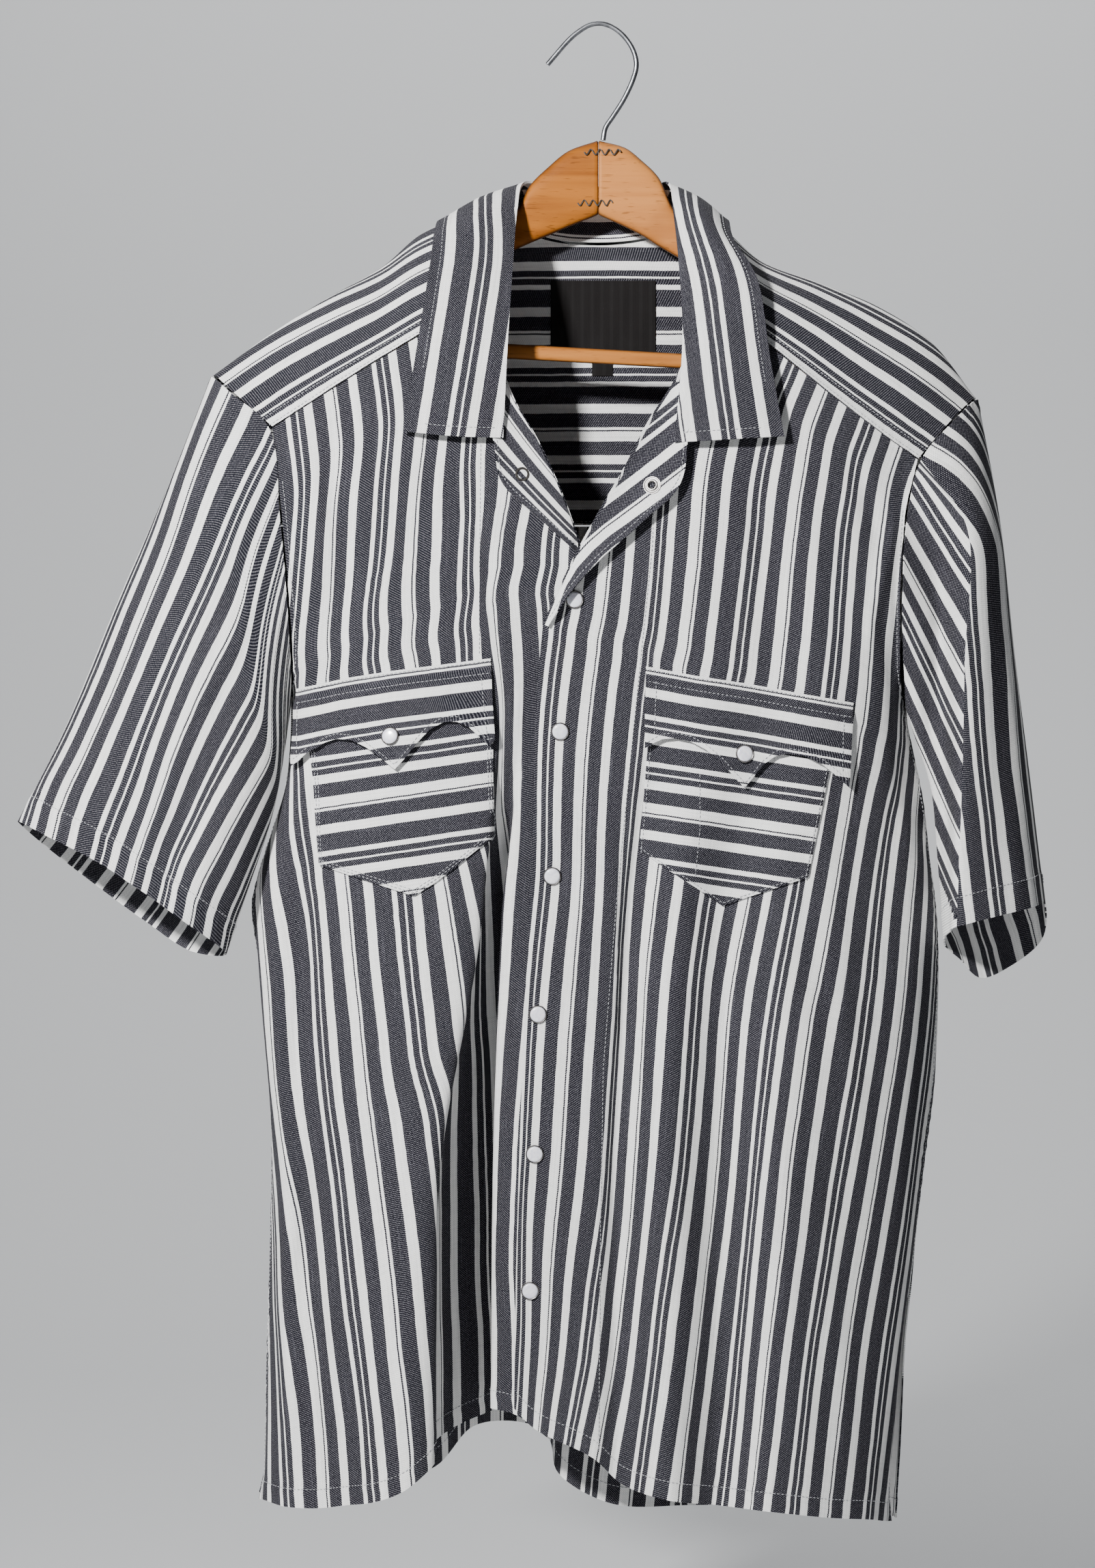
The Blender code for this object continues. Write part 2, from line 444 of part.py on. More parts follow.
def main():
    for o in list(bpy.data.objects):
        bpy.data.objects.remove(o)
    kept = bpy.data.collections.new("pearl_snap_shirt")
    bpy.context.scene.collection.children.link(kept)

    def material(name, colour, rough, metal=0.0):
        m = bpy.data.materials.new(name)
        m.use_nodes = True
        b = m.node_tree.nodes["Principled BSDF"]
        b.inputs["Base Color"].default_value = (*colour, 1)
        b.inputs["Roughness"].default_value = rough
        b.inputs["Metallic"].default_value = metal
        return m

    cloth = material("striped_cloth", (0.42, 0.43, 0.46), 0.85)
    black = material("label_cloth", (0.02, 0.02, 0.022), 0.7)
    pearl = material("pearl_cap", (0.8, 0.81, 0.84), 0.25)
    metal = material("snap_metal", (0.62, 0.63, 0.65), 0.25, 1.0)
    steel = material("hook_steel", (0.35, 0.36, 0.38), 0.35, 1.0)
    wood = material("hanger_wood", (0.62, 0.33, 0.13), 0.45)

    # body
    def down(rows, gap):
        return [(rows[0][0] + gap, *rows[0][1:]), *rows[1:]]

    left = panel(folds(LEVELS, LEFT_FOLDS, lambda x: YOKE_LEFT(x) + PIECE_GAP),
                 edge(down(LEFT_SIDE, PIECE_GAP)), edge(down(LEFT_EDGE, PIECE_GAP)), 17, 2)
    right = panel(folds(LEVELS, RIGHT_FOLDS, lambda x: YOKE_RIGHT(x) + PIECE_GAP),
                  edge(down(RIGHT_EDGE, PIECE_GAP)), edge(down(RIGHT_SIDE, PIECE_GAP)), 17, 2)
    back = panel(folds((330, 430, 560, 740), BACK_FOLDS, lambda x: 312.9),
                 edge(LEFT_BACK), edge(RIGHT_BACK), 13, 1)
    wall("front_left", left, CLOTH, cloth, kept)
    wall("front_right", right, CLOTH, cloth, kept)
    wall("back", back, CLOTH, cloth, kept)
    wall("yoke_front_left", lofted(YOKE_FRONT_LEFT, 2, 1), CLOTH, cloth, kept)
    wall("yoke_front_right", lofted(YOKE_FRONT_RIGHT, 2, 1), CLOTH, cloth, kept)
    yoke = lofted(YOKE_BACK, 2, 1)
    wall("yoke_back", yoke, CLOTH, cloth, kept)
    wall("collar", lofted(COLLAR, 2, 2), FOLDED, cloth, kept)
    wall("collar_stand", lofted(STAND, 1, 2), CLOTH, cloth, kept)
    for side, rings in (("left", SLEEVE_LEFT), ("right", SLEEVE_RIGHT)):
        net = np.array([[seen(*p) for p in r] for r in rings])
        along = np.array([through(net[:, j], 2) for j in range(net.shape[1])])
        grid = np.array([through(along[:, i], 2, closed=True) for i in range(along.shape[1])])
        wall("sleeve_" + side, grid, CLOTH, cloth, kept, closed=True)

    # what lies on the fronts
    fronts = {"left": Surface(left), "right": Surface(right)}
    facings = {}
    for side, net in (("left", LAPEL_LEFT), ("right", LAPEL_RIGHT)):
        facings[side] = patch(fronts[side], net, 2.1, 2, 1)
        wall("lapel_" + side, facings[side], CLOTH, cloth, kept)
    flaps = {}
    for side, pocket, flap in (("left", POCKET_LEFT, FLAP_LEFT), ("right", POCKET_RIGHT, FLAP_RIGHT)):
        wall("pocket_" + side, patch(fronts[side], pocket, 3.1, 5, 3), CLOTH, cloth, kept)
        flaps[side] = patch(fronts[side], flap, 5.3, 3, 4)
        wall("pocket_flap_" + side, flaps[side], CLOTH, cloth, kept)

    # label and size tab on the inside of the back yoke
    inside = Surface(yoke)
    wall("label", patch(inside, [[(-30, 158), (3, 158), (36, 158)], [(-30, 182), (3, 182), (36, 182)],
                                 [(-30, 206), (3, 206), (36, 206)]], 1.4, 1, 1), 0.8, black, kept)
    wall("size_tab", patch(inside, [[(-4, 207), (9, 207)], [(-4, 218), (9, 218)]], 1.4, 1, 1),
         0.8, black, kept)

    # snaps
    def snap(name, place, n):
        turned("snap_cap_" + name, [(4.6, 0.3), (SNAP_R - 0.5, 0.3), (SNAP_R - 0.5, SNAP_H - 0.7),
                                    (SNAP_R - 1.3, SNAP_H - 0.1), (2.2, SNAP_H + 0.1)],
               place, n, pearl, kept)
        washer("snap_rim_" + name, RIM_R, SNAP_R - 0.2, 1.1, place + n * 0.0003, n, metal, kept)

    for i, (x, drop) in enumerate(FRONT_SNAPS):
        place, n = fronts["right"].at(x, drop, CLOTH / 2)
        snap(f"front_{i + 1}", place, n)
    for side, x, drop in FLAP_SNAPS:
        place, n = Surface(flaps[side]).at(x, drop, CLOTH / 2 + 0.3)
        snap("flap_" + side, place, n)
    place, n = Surface(facings["left"]).at(-48, 280, CLOTH / 2 + 0.3)
    washer("lapel_ring", 4.3, 2.6, 0.9, place, n, metal, kept)
    place, n = Surface(facings["right"]).at(34, 287, CLOTH / 2 + 0.3)
    washer("lapel_socket", 5.5, 2.1, 1.3, place, n, metal, kept)

    # hanger
    def arm(name, rows):
        x, top, low = (table(range(len(rows)), c) for c in zip(*rows))
        rings = []
        for q in np.linspace(0, len(rows) - 1, 2 * len(rows) - 1):
            half, mid = (low(q) - top(q)) / 2, (low(q) + top(q)) / 2
            y = -15 * (x(q) / 205) ** 2
            ring = []
            for a in np.arange(16) * math.pi / 8:
                c, s = math.cos(a), math.sin(a)
                ring.append(seen(x(q), mid - half * math.copysign(abs(s) ** 0.7, s),
                                 y + WOOD / 2 * math.copysign(abs(c) ** 0.55, c)))
            rings.append(ring)
        return rod(name, rings, wood, kept)

    arm("hanger_arm_left", ARM_LEFT)
    arm("hanger_arm_right", ARM_RIGHT)
    bar = [(-161, 196.7), (180, 215.9)]
    rings = []
    for x, drop in bar:
        rings.append([seen(x, drop - BAR_H / 2 * math.copysign(abs(s) ** 0.6, s),
                           -14 + BAR_D / 2 * math.copysign(abs(c) ** 0.6, c))
                      for c, s in ((math.cos(a), math.sin(a)) for a in np.arange(12) * math.pi / 6)])
    rod("trouser_bar", rings, wood, kept)
    points = through([seen(x, d, 0) for x, d in HOOK], 2)
    wire("hook", [tuple(p) for p in points], WIRE / 2000, steel, kept)
    for i, (x0, x1, drop) in enumerate(((-9, 14, 77), (-13, 9, 109))):
        xs = np.linspace(x0, x1, 17)
        wave = [drop + 1.9 * math.sin(k * math.pi / 2) for k in range(17)]
        grid = np.array([[seen(x, d, y) for x, d in zip(xs, wave)] for y in (-7.4, -8.2)])
        wall(f"corrugated_fastener_{i + 1}", grid, 0.8, steel, kept)


main()
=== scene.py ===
"""Looks of a short-sleeved striped shirt with pearl snaps, hung on a wooden hanger.

The solids' frame is loaded first and every piece rides on it. Metres, +Z up, +X to the right of
someone facing the shirt, the shirt's front towards -Y. Tables are in millimetres as the shirt is
seen from SEEN_FROM in front: x across, drop below the hook, y the depth (minus is nearer).
"""

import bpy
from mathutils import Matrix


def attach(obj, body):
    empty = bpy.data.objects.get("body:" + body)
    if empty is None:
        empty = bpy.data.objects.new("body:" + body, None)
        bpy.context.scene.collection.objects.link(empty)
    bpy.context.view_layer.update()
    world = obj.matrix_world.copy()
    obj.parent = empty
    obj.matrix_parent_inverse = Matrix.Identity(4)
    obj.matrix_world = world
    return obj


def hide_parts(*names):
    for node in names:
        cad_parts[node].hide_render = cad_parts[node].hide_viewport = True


bl_info = {
    "name": "Pearl snap shirt",
    "version": (1, 0, 0),
    "blender": (4, 5, 0),
    "location": "3D View > Sidebar > Shirt",
    "description": "Striped shirt with pearl snaps on a wooden hanger",
    "category": "Object",
}

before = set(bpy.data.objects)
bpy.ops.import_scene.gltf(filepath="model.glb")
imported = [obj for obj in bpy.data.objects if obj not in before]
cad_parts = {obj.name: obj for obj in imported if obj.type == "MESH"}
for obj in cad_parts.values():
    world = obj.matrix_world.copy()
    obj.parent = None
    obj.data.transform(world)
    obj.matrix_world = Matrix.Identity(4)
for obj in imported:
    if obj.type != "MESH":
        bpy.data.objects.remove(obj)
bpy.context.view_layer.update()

import math

import bmesh
import bpy
import numpy as np
from mathutils import Vector
from mathutils.bvhtree import BVHTree

# ---------------------------------------------------------------- sizes, millimetres
SEEN_FROM = 2494.0                     # how far in front the outline is measured from
SEEN_X, SEEN_DROP = -32.0, 475.0       # the point straight ahead of it
HOOK_DROP = -2.4                       # inside of the hook's bend in the tables
CLOTH = 0.9                            # wall of a single cloth
FOLDED = 1.5                           # wall of the collar, which is two cloths
PIECE_GAP = 0.9                        # drop between a yoke's edge and the panel under it
POCKET_LIFT, FLAP_LIFT, LAPEL_LIFT = 1.8, 3.5, 1.9
FLAP_CURL = 2.6                        # how far a flap's point stands off more than its top
HEM, SLEEVE_HEM, EDGE_STITCH = 11.5, 18.0, 3.2
COLLAR_STITCH, FLAP_STITCH = 6.0, 9.5
STITCH_LIFT = 0.75                     # middle of the thread off the middle of the cloth
BACK_TOP = 312.9                       # drop of the back panel's top edge
CREASED_LEFT, CREASED_RIGHT = -95, 12  # past these the fronts crease fully
CAP_R, RIM_R = 4.8, 5.65               # pearl cap and the metal rim round it
WOOD, WIRE = 14.0, 3.2                 # hanger's thickness, hook's wire
BAR_H, BAR_D = 9.4, 9.0                # trouser bar

# (radius, height off the cloth) rows of the turned parts
CAP = [(CAP_R - 0.3, 0.35), (CAP_R, 0.6), (CAP_R, 1.25), (CAP_R - 0.15, 1.6), (CAP_R - 0.5, 1.92),
       (CAP_R - 1.1, 2.12), (CAP_R - 2.2, 2.24), (CAP_R - 3.6, 2.30), (0.4, 2.32)]
RIM = [(CAP_R + 0.08, 0.1), (RIM_R - 0.1, 0.1), (RIM_R, 0.4), (RIM_R, 0.8), (RIM_R - 0.2, 1.2),
       (RIM_R - 0.5, 1.4), (CAP_R + 0.08, 1.25)]
LAPEL_RING = [(3.1, 0.1), (4.2, 0.1), (4.4, 0.45), (4.1, 0.75), (3.3, 0.75), (3.0, 0.45)]
LAPEL_SOCKET = [(1.7, 0.5), (1.7, 0.05), (5.3, 0.05), (5.6, 0.3), (5.45, 0.55), (5.0, 0.6),
                (4.7, 0.45), (3.8, 0.5), (3.5, 1.2), (2.9, 1.35), (2.3, 1.25), (2.0, 0.9)]

# one repeat of the woven stripe, across the cloth
STRIPES = [("white", 5.9), ("dark", 1.0), ("white", 1.5), ("dark", 8.7), ("white", 5.9),
           ("dark", 10.7), ("white", 3.0), ("dark", 3.6), ("white", 1.3), ("dark", 3.6),
           ("white", 5.5), ("dark", 8.8)]
REPEAT = sum(w for _, w in STRIPES)
LINED, BROAD, EDGED = 2.95, 20.05, 47.95   # middles of the three broad white stripes
WEAVE = 1.42                           # one repeat of the weave
# where the weave starts on the pieces whose stripes run across, and how much it is stretched
STRIPES_FROM_EDGE, COLLAR_STRETCH = 9.4, 0.93
YOKE_START, YOKE_STRETCH = 72.0, 0.965
FLAP_START = 4.2

# the cut of each sheet: metres across and along, area in square metres, what it rests on
HANGER = ("hanger_arm_left", "hanger_arm_right")
CUTS = {
    "front_left": (0.37, 0.72, 0.178, HANGER),
    "front_right": (0.31, 0.725, 0.185, HANGER),
    "back": (0.46, 0.64, 0.28, HANGER),
    "yoke_back": (0.56, 0.20, 0.073, HANGER),
    "collar": (0.52, 0.064, 0.0305, HANGER),
    "collar_stand": (0.20, 0.035, 0.0042, HANGER),
    "lapel_left": (0.127, 0.042, 0.0029, HANGER),
    "lapel_right": (0.186, 0.039, 0.0036, HANGER),
    "sleeve_left": (0.487, 0.305, 0.082, ("front_left_cloth",)),
    "sleeve_right": (0.463, 0.336, 0.062, ("front_right_cloth",)),
    "label": (0.066, 0.048, None, ("yoke_back_cloth",)),
    "size_tab": (0.013, 0.011, None, ("yoke_back_cloth",)),
}
for side in ("_left", "_right"):
    CUTS["yoke_front" + side] = (0.20, 0.09, 0.0162, HANGER)
    CUTS["pocket" + side] = (0.118, 0.108, 0.0105, HANGER)
    CUTS["pocket_flap" + side] = (0.14, 0.064, 0.0061, HANGER)

# filled while the pieces are made: lines of stitches, sheets, pieces that others lie on, materials
STITCHES, SHEETS, PIECES, FINISHES = [], [], {}, {}


def seen(x, drop, y):
    """Place of the point seen at x, drop when it is at depth y (millimetres in, metres out)."""
    x, drop, y = np.broadcast_arrays(*(np.asarray(a, float) for a in (x, drop, y)))
    k = 1 + y / SEEN_FROM
    z = -(SEEN_DROP + (drop - SEEN_DROP) * k) + HOOK_DROP
    return np.stack([SEEN_X + (x - SEEN_X) * k, y, z], -1) / 1000


def sight(p):
    """Where a place is seen: x and drop, in millimetres."""
    p = np.asarray(p) * 1000
    k = 1 + p[..., 1] / SEEN_FROM
    return SEEN_X + (p[..., 0] - SEEN_X) / k, SEEN_DROP + (HOOK_DROP - p[..., 2] - SEEN_DROP) / k


# ---------------------------------------------------------------- curves
def table(keys, values):
    """Smooth line through a table that never swings past its rows."""
    k, v = np.array(keys, float), np.array(values, float)
    h, d = np.diff(k), np.diff(v) / np.diff(k)
    m = np.zeros(len(k))
    m[0], m[-1] = d[0], d[-1]
    for i in range(1, len(k) - 1):
        if d[i - 1] * d[i] > 0:
            a, b = 2 * h[i] + h[i - 1], h[i] + 2 * h[i - 1]
            m[i] = (a + b) / (a / d[i - 1] + b / d[i])

    def at(q):
        q = np.clip(np.asarray(q, float), k[0], k[-1])
        i = np.clip(np.searchsorted(k, q, side="right") - 1, 0, len(k) - 2)
        t = (q - k[i]) / h[i]
        return (v[i] * (1 + 2 * t) * (1 - t) ** 2 + m[i] * h[i] * t * (1 - t) ** 2
                + v[i + 1] * t * t * (3 - 2 * t) + m[i + 1] * h[i] * t * t * (t - 1))

    return at


def through(points, sub, closed=False):
    """Rounded curve through the points, sub steps from one to the next."""
    p = np.array(points, float)
    if closed:
        p = np.vstack([p[-1:], p, p[:2]])
    h = np.maximum(np.linalg.norm(np.diff(p, axis=0), axis=1) ** 0.5, 1e-6)
    d = np.diff(p, axis=0) / h[:, None]
    m = np.zeros_like(p)
    m[0], m[-1] = d[0], d[-1]
    for i in range(1, len(p) - 1):
        m[i] = (d[i - 1] * h[i] + d[i] * h[i - 1]) / (h[i] + h[i - 1])
    out = []
    for i in range(1 if closed else 0, len(p) - (2 if closed else 1)):
        for t in np.arange(sub) / sub:
            out.append(p[i] * (1 + 2 * t) * (1 - t) ** 2 + m[i] * h[i] * t * (1 - t) ** 2
                       + p[i + 1] * t * t * (3 - 2 * t) + m[i + 1] * h[i] * t * t * (t - 1))
    if not closed:
        out.append(p[-1])
    return np.array(out)


def lofted(stations, sub_across, sub_along, closed=False):
    """Grid of places through a net of seen points: stations[k] is a cross line, or a ring."""
    net = np.array([[seen(*p) for p in s] for s in stations])
    along = np.array([through(net[:, j], sub_along) for j in range(net.shape[1])])
    return np.array([through(along[:, i], sub_across, closed) for i in range(along.shape[1])])


def netted(net, sub_across, sub_along):
    """A loft turned so that its rows run along the stations."""
    return lofted(net, sub_across, sub_along).transpose(1, 0, 2)


def panel(lines, start, end, rows, sub):
    """Cloth hung on its fold lines. Each line: top drop, hem drop, x and y down the levels."""
    t = np.linspace(0, 1, rows + 1)
    cols = []
    for keys, xs, ys, top, hem in [start, *lines, end]:
        d = top + (hem - top) * t
        cols.append(seen(table(keys, xs)(d), d, table(keys, ys)(d)))
    net = np.array(cols)
    return np.array([through(net[:, i], sub) for i in range(rows + 1)])


def folds(levels, rows, seam):
    """Fold lines from a table: name, x down the levels, y down the levels, hem drop."""
    out = []
    for _, xs, ys, hem in rows:
        top = float(seam(xs[0]))
        out.append(([top, *levels, hem], xs, ys, top, hem))
    return out


def edge(rows):
    """Edge of a panel from (drop, x, y) rows."""
    d, x, y = zip(*rows)
    return (list(d), list(x), list(y), d[0], d[-1])


def down(rows, gap):
    """The same edge, starting a gap lower."""
    return [(rows[0][0] + gap, *rows[0][1:]), *rows[1:]]


# ---------------------------------------------------------------- the shirt's lines
LEVELS = (330, 430, 560, 740)
#                name      x at the seam, 330, 430, 560, 740, hem      y at the same places        hem
LEFT_FOLDS = [("roll", (-198, -190, -188, -214, -203, -209), (-38, -41, -24, -10, -8, -6), 926),
              ("side", (-186, -180, -178, -204, -196, -196), (-42, -45, -34, -24, -24, -26), 930),
              ("dip", (-170, -164, -168, -187, -182, -178), (-43, -44, -37, -27, -26, -34), 931),
              ("near", (-152, -146, -148, -168, -166, -158), (-45, -48, -46, -43, -42, -50), 929),
              ("face", (-130, -124, -124, -138, -142, -140), (-46, -50, -52, -55, -59, -66), 927),
              ("bulge", (-112, -103, -88, -100, -121, -122), (-46, -50, -53, -60, -71, -75), 920),
              ("brow", (-100, -84, -65, -74, -102, -104), (-46, -49, -52, -54, -66, -66), 903),
              ("tuck", (-94, -79, -62, -77, -104, -107), (-45, -49, -51, -43, -38, -36), 893),
              ("floor", (-88, -73, -59, -70, -86, -90), (-45, -48, -50, -30, -4, 0), 879),
              ("channel", (-84, -64, -53, -57, -59, -59), (-45, -48, -49, -21, 8, 12), 866),
              ("lip", (-80, -53, -46, -60, -66, -67), (-44, -47, -47, -38, -27, -24), 868),
              ("lap", (-77, -32, -38, -44, -50, -52), (-44, -46, -46, -42, -40, -33), 872)]
RIGHT_FOLDS = [("snaps", (78, 2, -22, -30, -41, -40), (-44, -50, -51, -46, -44, -38), 881),
               ("stitch", (86, 33, 26, 11, 0, -4), (-45, -51, -51, -45, -44, -40), 899),
               ("crease", (94, 46, 38, 22, 12, 14), (-45, -50, -50, -39, -37, -34), 915),
               ("crest", (108, 74, 70, 50, 44, 44), (-46, -51, -52, -52, -54, -56), 926),
               ("valley", (124, 106, 102, 80, 78, 76), (-46, -48, -48, -42, -38, -36), 929),
               ("swell", (144, 140, 136, 120, 112, 106), (-44, -46, -50, -53, -56, -60), 933),
               ("side", (166, 166, 160, 164, 154, 146), (-40, -41, -44, -42, -42, -46), 937),
               ("turn", (184, 183, 180, 198, 187, 171), (-34, -36, -34, -24, -22, -26), 938),
               ("roll", (194, 189, 187, 209, 198, 180), (-31, -34, -24, -9, -7, -9), 939)]
BACK_FOLDS = [("roll_left", (-196, -190, -186, -213, -203, -207), (35, 30, 12, 16, 18, 22), 920),
              ("side_left", (-170, -164, -162, -190, -185, -185), (41, 42, 36, 38, 42, 44), 917),
              ("blade_left", (-118, -114, -112, -130, -132, -134), (47, 48, 48, 52, 56, 58), 913),
              ("fold_1", (-86, -86, -88, -98, -102, -103), (48, 49, 50, 54, 56, 58), 905),
              ("fold_2", (-60, -60, -62, -70, -75, -78), (49, 49, 50, 52, 52, 54), 879),
              ("fold_3", (-30, -30, -32, -36, -42, -47), (49, 49, 50, 52, 54, 58), 877),
              ("fold_4", (-10, -10, -10, -16, -26, -31), (49, 49, 50, 48, 44, 40), 887),
              ("fold_5", (8, 8, 10, 2, -14, -25), (49, 49, 50, 46, 34, 22), 909),
              ("fold_6", (40, 40, 40, 36, 24, 8), (49, 49, 50, 46, 36, 14), 928),
              ("fold_7", (82, 82, 84, 84, 74, 60), (48, 48, 49, 48, 46, 26), 929),
              ("blade_right", (122, 122, 122, 136, 126, 116), (45, 46, 46, 48, 50, 44), 928),
              ("side_right", (162, 158, 156, 180, 168, 158), (40, 40, 37, 40, 40, 38), 929),
              ("roll_right", (188, 184, 180, 207, 194, 186), (34, 29, 12, 18, 20, 22), 936)]
#            drop, x, y down the armhole and the side seam
LEFT_SIDE = [(250, -205, -33), (308, -199, -38), (368, -194, -36), (405, -192, -24),
             (427, -192, -8), (476, -196, -2), (505, -205, 0), (536, -215, 1), (552, -218, 2),
             (587, -213, 2), (632, -207, 3), (670, -205, 4), (745, -206, 5), (854, -209, 7),
             (907, -210, 8), (925, -213, 8)]
RIGHT_SIDE = [(270, 201, -30), (308, 193, -34), (368, 190, -34), (405, 190, -25), (430, 193, -8),
              (454, 198, -2), (490, 205, 0), (519, 208, 2), (561, 213, 4), (587, 214, 5),
              (654, 212, 6), (714, 205, 6), (755, 200, 6), (790, 196, 6), (827, 187, 4),
              (857, 183, 2), (900, 182, 1), (939, 184, 1)]
# the back's edges lie 1 mm behind the fronts' side seams
LEFT_BACK = ([(BACK_TOP, -208, 30), (368, -205, 27), (405, -200, 16), (428, -193, -6)]
             + [(d, x, y + 1) for d, x, y in LEFT_SIDE[5:-1]] + [(921, -213, 9.5)])
RIGHT_BACK = ([(BACK_TOP, 206, 30), (368, 203, 27), (405, 199, 16), (431, 194, -6)]
              + [(d, x, y + 1) for d, x, y in RIGHT_SIDE[5:12]]
              + [(755, 200, 7.5), (790, 197, 9), (827, 193, 12), (892, 190, 13), (937, 187, 12)])
#           the left front's inner edge: neck, roll of the lapel, then the lap under the snaps
LEFT_EDGE = [(172, -75, -44), (215, -60, -45), (236, -51, -46), (256, -39, -46), (279, -28, -46),
             (301, -19, -46), (324, -11, -46), (345, -3, -46), (362, -1, -46), (442, -9, -46),
             (533, -14, -42), (620, -23, -41), (708, -25, -41), (794, -28, -39), (888, -30, -35)]
RIGHT_EDGE = [(172, 70, -44), (222, 47, -47), (247, 31, -49), (276, 16, -50), (300, 2, -51),
              (339, -19, -51), (359, -28, -51), (376, -35, -51), (540, -43, -46), (794, -52, -43),
              (868, -53, -38)]
YOKE_LEFT = table((-205, -162, -116, -75), (250, 222, 194, 172))    # drop of the yoke seam
YOKE_RIGHT = table((70, 107, 154, 201), (172, 198, 235, 270))

#            behind the ridge       ridge              front slope        front seam
YOKE_FRONT_LEFT = [
    [(-60, 114, 9), (-61, 111, -1), (-67, 135, -30), (-76, 171, -43)],
    [(-82, 124, 11), (-82, 117, -1), (-88, 145, -33), (-96, 181, -45)],
    [(-111, 137, 12), (-111, 129, -2), (-114, 156, -35), (-117, 193.5, -46)],
    [(-136, 158, 9), (-136, 150, -5), (-139, 173, -34), (-141, 208, -45)],
    [(-171, 179, 5), (-171, 170, -10), (-168, 189, -34), (-163, 221.5, -44)],
    [(-207, 202, 1), (-206, 192, -13), (-197, 209, -33), (-184, 235, -40)],
    [(-240, 226, 1), (-242, 218, -11), (-229, 229, -27), (-206, 249, -34)]]
YOKE_FRONT_RIGHT = [
    [(56, 116, 9), (57, 113, -1), (62, 137, -30), (71, 171, -44)],
    [(80, 134, 11), (80, 127, -2), (84, 150, -33), (90, 185, -45)],
    [(102, 152, 10), (102, 146, -4), (105, 166, -34), (109, 198.5, -46)],
    [(139, 167, 7), (139, 160, -8), (138, 184, -34), (133, 217.5, -45)],
    [(176, 183, 4), (176, 175, -11), (170, 201, -33), (160, 238.5, -41)],
    [(210, 206, 2), (209, 197, -12), (200, 223, -30), (182, 255, -36)],
    [(235, 239, 3), (237, 232, -9), (223, 245, -24), (202, 269, -31)]]
#            top edge             middle             seam to the back panel
YOKE_BACK = [
    [(-240, 228, 3), (-224, 262, 24), (-208, 312, 30)],
    [(-207, 204, 3.5), (-200, 246, 28), (-186, 312, 37)],
    [(-171, 181, 7.5), (-168, 234, 34), (-156, 312, 43)],
    [(-136, 160, 11.5), (-137, 224, 36), (-128, 312, 46)],
    [(-111, 139, 14.5), (-111, 214, 36), (-100, 312, 47.5)],
    [(-82, 126, 13.5), (-84, 204, 34), (-72, 312, 48.5)],
    [(-60, 117, 11.5), (-62, 200, 32), (-52, 312, 49)],
    [(-38, 131, 16), (-38, 200, 31), (-30, 312, 49)],
    [(0, 136, 19), (0, 204, 31), (0, 312, 49)],
    [(36, 131, 16), (36, 200, 31), (30, 312, 49)],
    [(57, 119, 11.5), (58, 200, 32), (52, 312, 49)],
    [(80, 136, 13.5), (80, 204, 34), (72, 312, 48.5)],
    [(102, 155, 12.5), (104, 214, 36), (100, 312, 47)],
    [(139, 169, 9.5), (138, 226, 36), (130, 312, 45)],
    [(176, 185, 6.5), (170, 240, 33), (160, 312, 41)],
    [(210, 208, 4.5), (202, 256, 28), (186, 312, 36)],
    [(235, 241, 5.5), (223, 270, 24), (206, 312, 30)]]
#            roll line            middle             outer edge, left point to right point
COLLAR = [
    [(-60, 257, -53), (-91, 256, -55), (-123, 253, -53)],
    [(-57, 196, -51), (-85, 195, -54), (-113, 192, -52)],
    [(-54, 150, -38), (-80, 150, -44), (-106, 147, -45)],
    [(-51, 113, -18), (-78, 118, -28), (-103, 128, -30)],
    [(-47, 97, 3), (-71, 105, 4), (-98, 121, 2)],
    [(-36, 97, 19), (-55, 116, 31), (-78, 136, 38)],
    [(0, 99, 26), (0, 128, 38), (0, 165, 42)],
    [(34, 98, 19), (52, 118, 31), (74, 142, 38)],
    [(44, 97, 3), (63, 106, 4), (81, 121, 2)],
    [(47, 113, -18), (66, 119, -28), (85, 133, -30)],
    [(51, 150, -38), (76, 150, -46), (100, 157, -47)],
    [(53, 196, -52), (80, 198, -56), (108, 205, -55)],
    [(48, 260, -56), (82, 258, -58), (117, 256, -56)]]
#            neck seam            top, just under the roll
STAND = [
    [(-62, 150, -34), (-57, 146, -35)],
    [(-59, 121, -16), (-54, 116, -16.5)],
    [(-57, 112, -5), (-52, 106.5, -5)],
    [(-54, 113, 6), (-48.5, 101.5, 5)],
    [(-37, 129, 15), (-37, 101, 17.5)],
    [(0, 134, 18), (0, 102.5, 24)],
    [(35, 129, 15), (35, 101.5, 17.5)],
    [(51, 114, 6), (45.5, 101.5, 5)],
    [(53, 114, -5), (49, 106.5, -5)],
    [(56, 123, -16), (51, 116, -16.5)],
    [(58, 150, -34), (54, 146, -35)]]
#            roll of each lapel and its outer edge as seen, x and drop from the neck down
LAPEL_LEFT_ROLL = [(-60.5, 216), (-53, 233), (-41, 254), (-29.5, 278), (-20.5, 300), (-13, 322)]
LAPEL_LEFT_OUTER = [(-74, 218), (-71, 238), (-66, 262), (-61.5, 285), (-37.4, 308), (-13, 329.7)]
LAPEL_LEFT_POINT = (-59.4, 286)
LAPEL_RIGHT_ROLL = [(48.5, 222), (32.5, 247), (17.5, 276), (3.5, 300), (-17.5, 339), (-26.5, 359),
                    (-33.5, 375)]
LAPEL_RIGHT_OUTER = [(64, 222), (57, 252), (51, 286.4), (28.5, 310.7), (-4.4, 339.4),
                     (-20.5, 358.5), (-31.5, 376)]
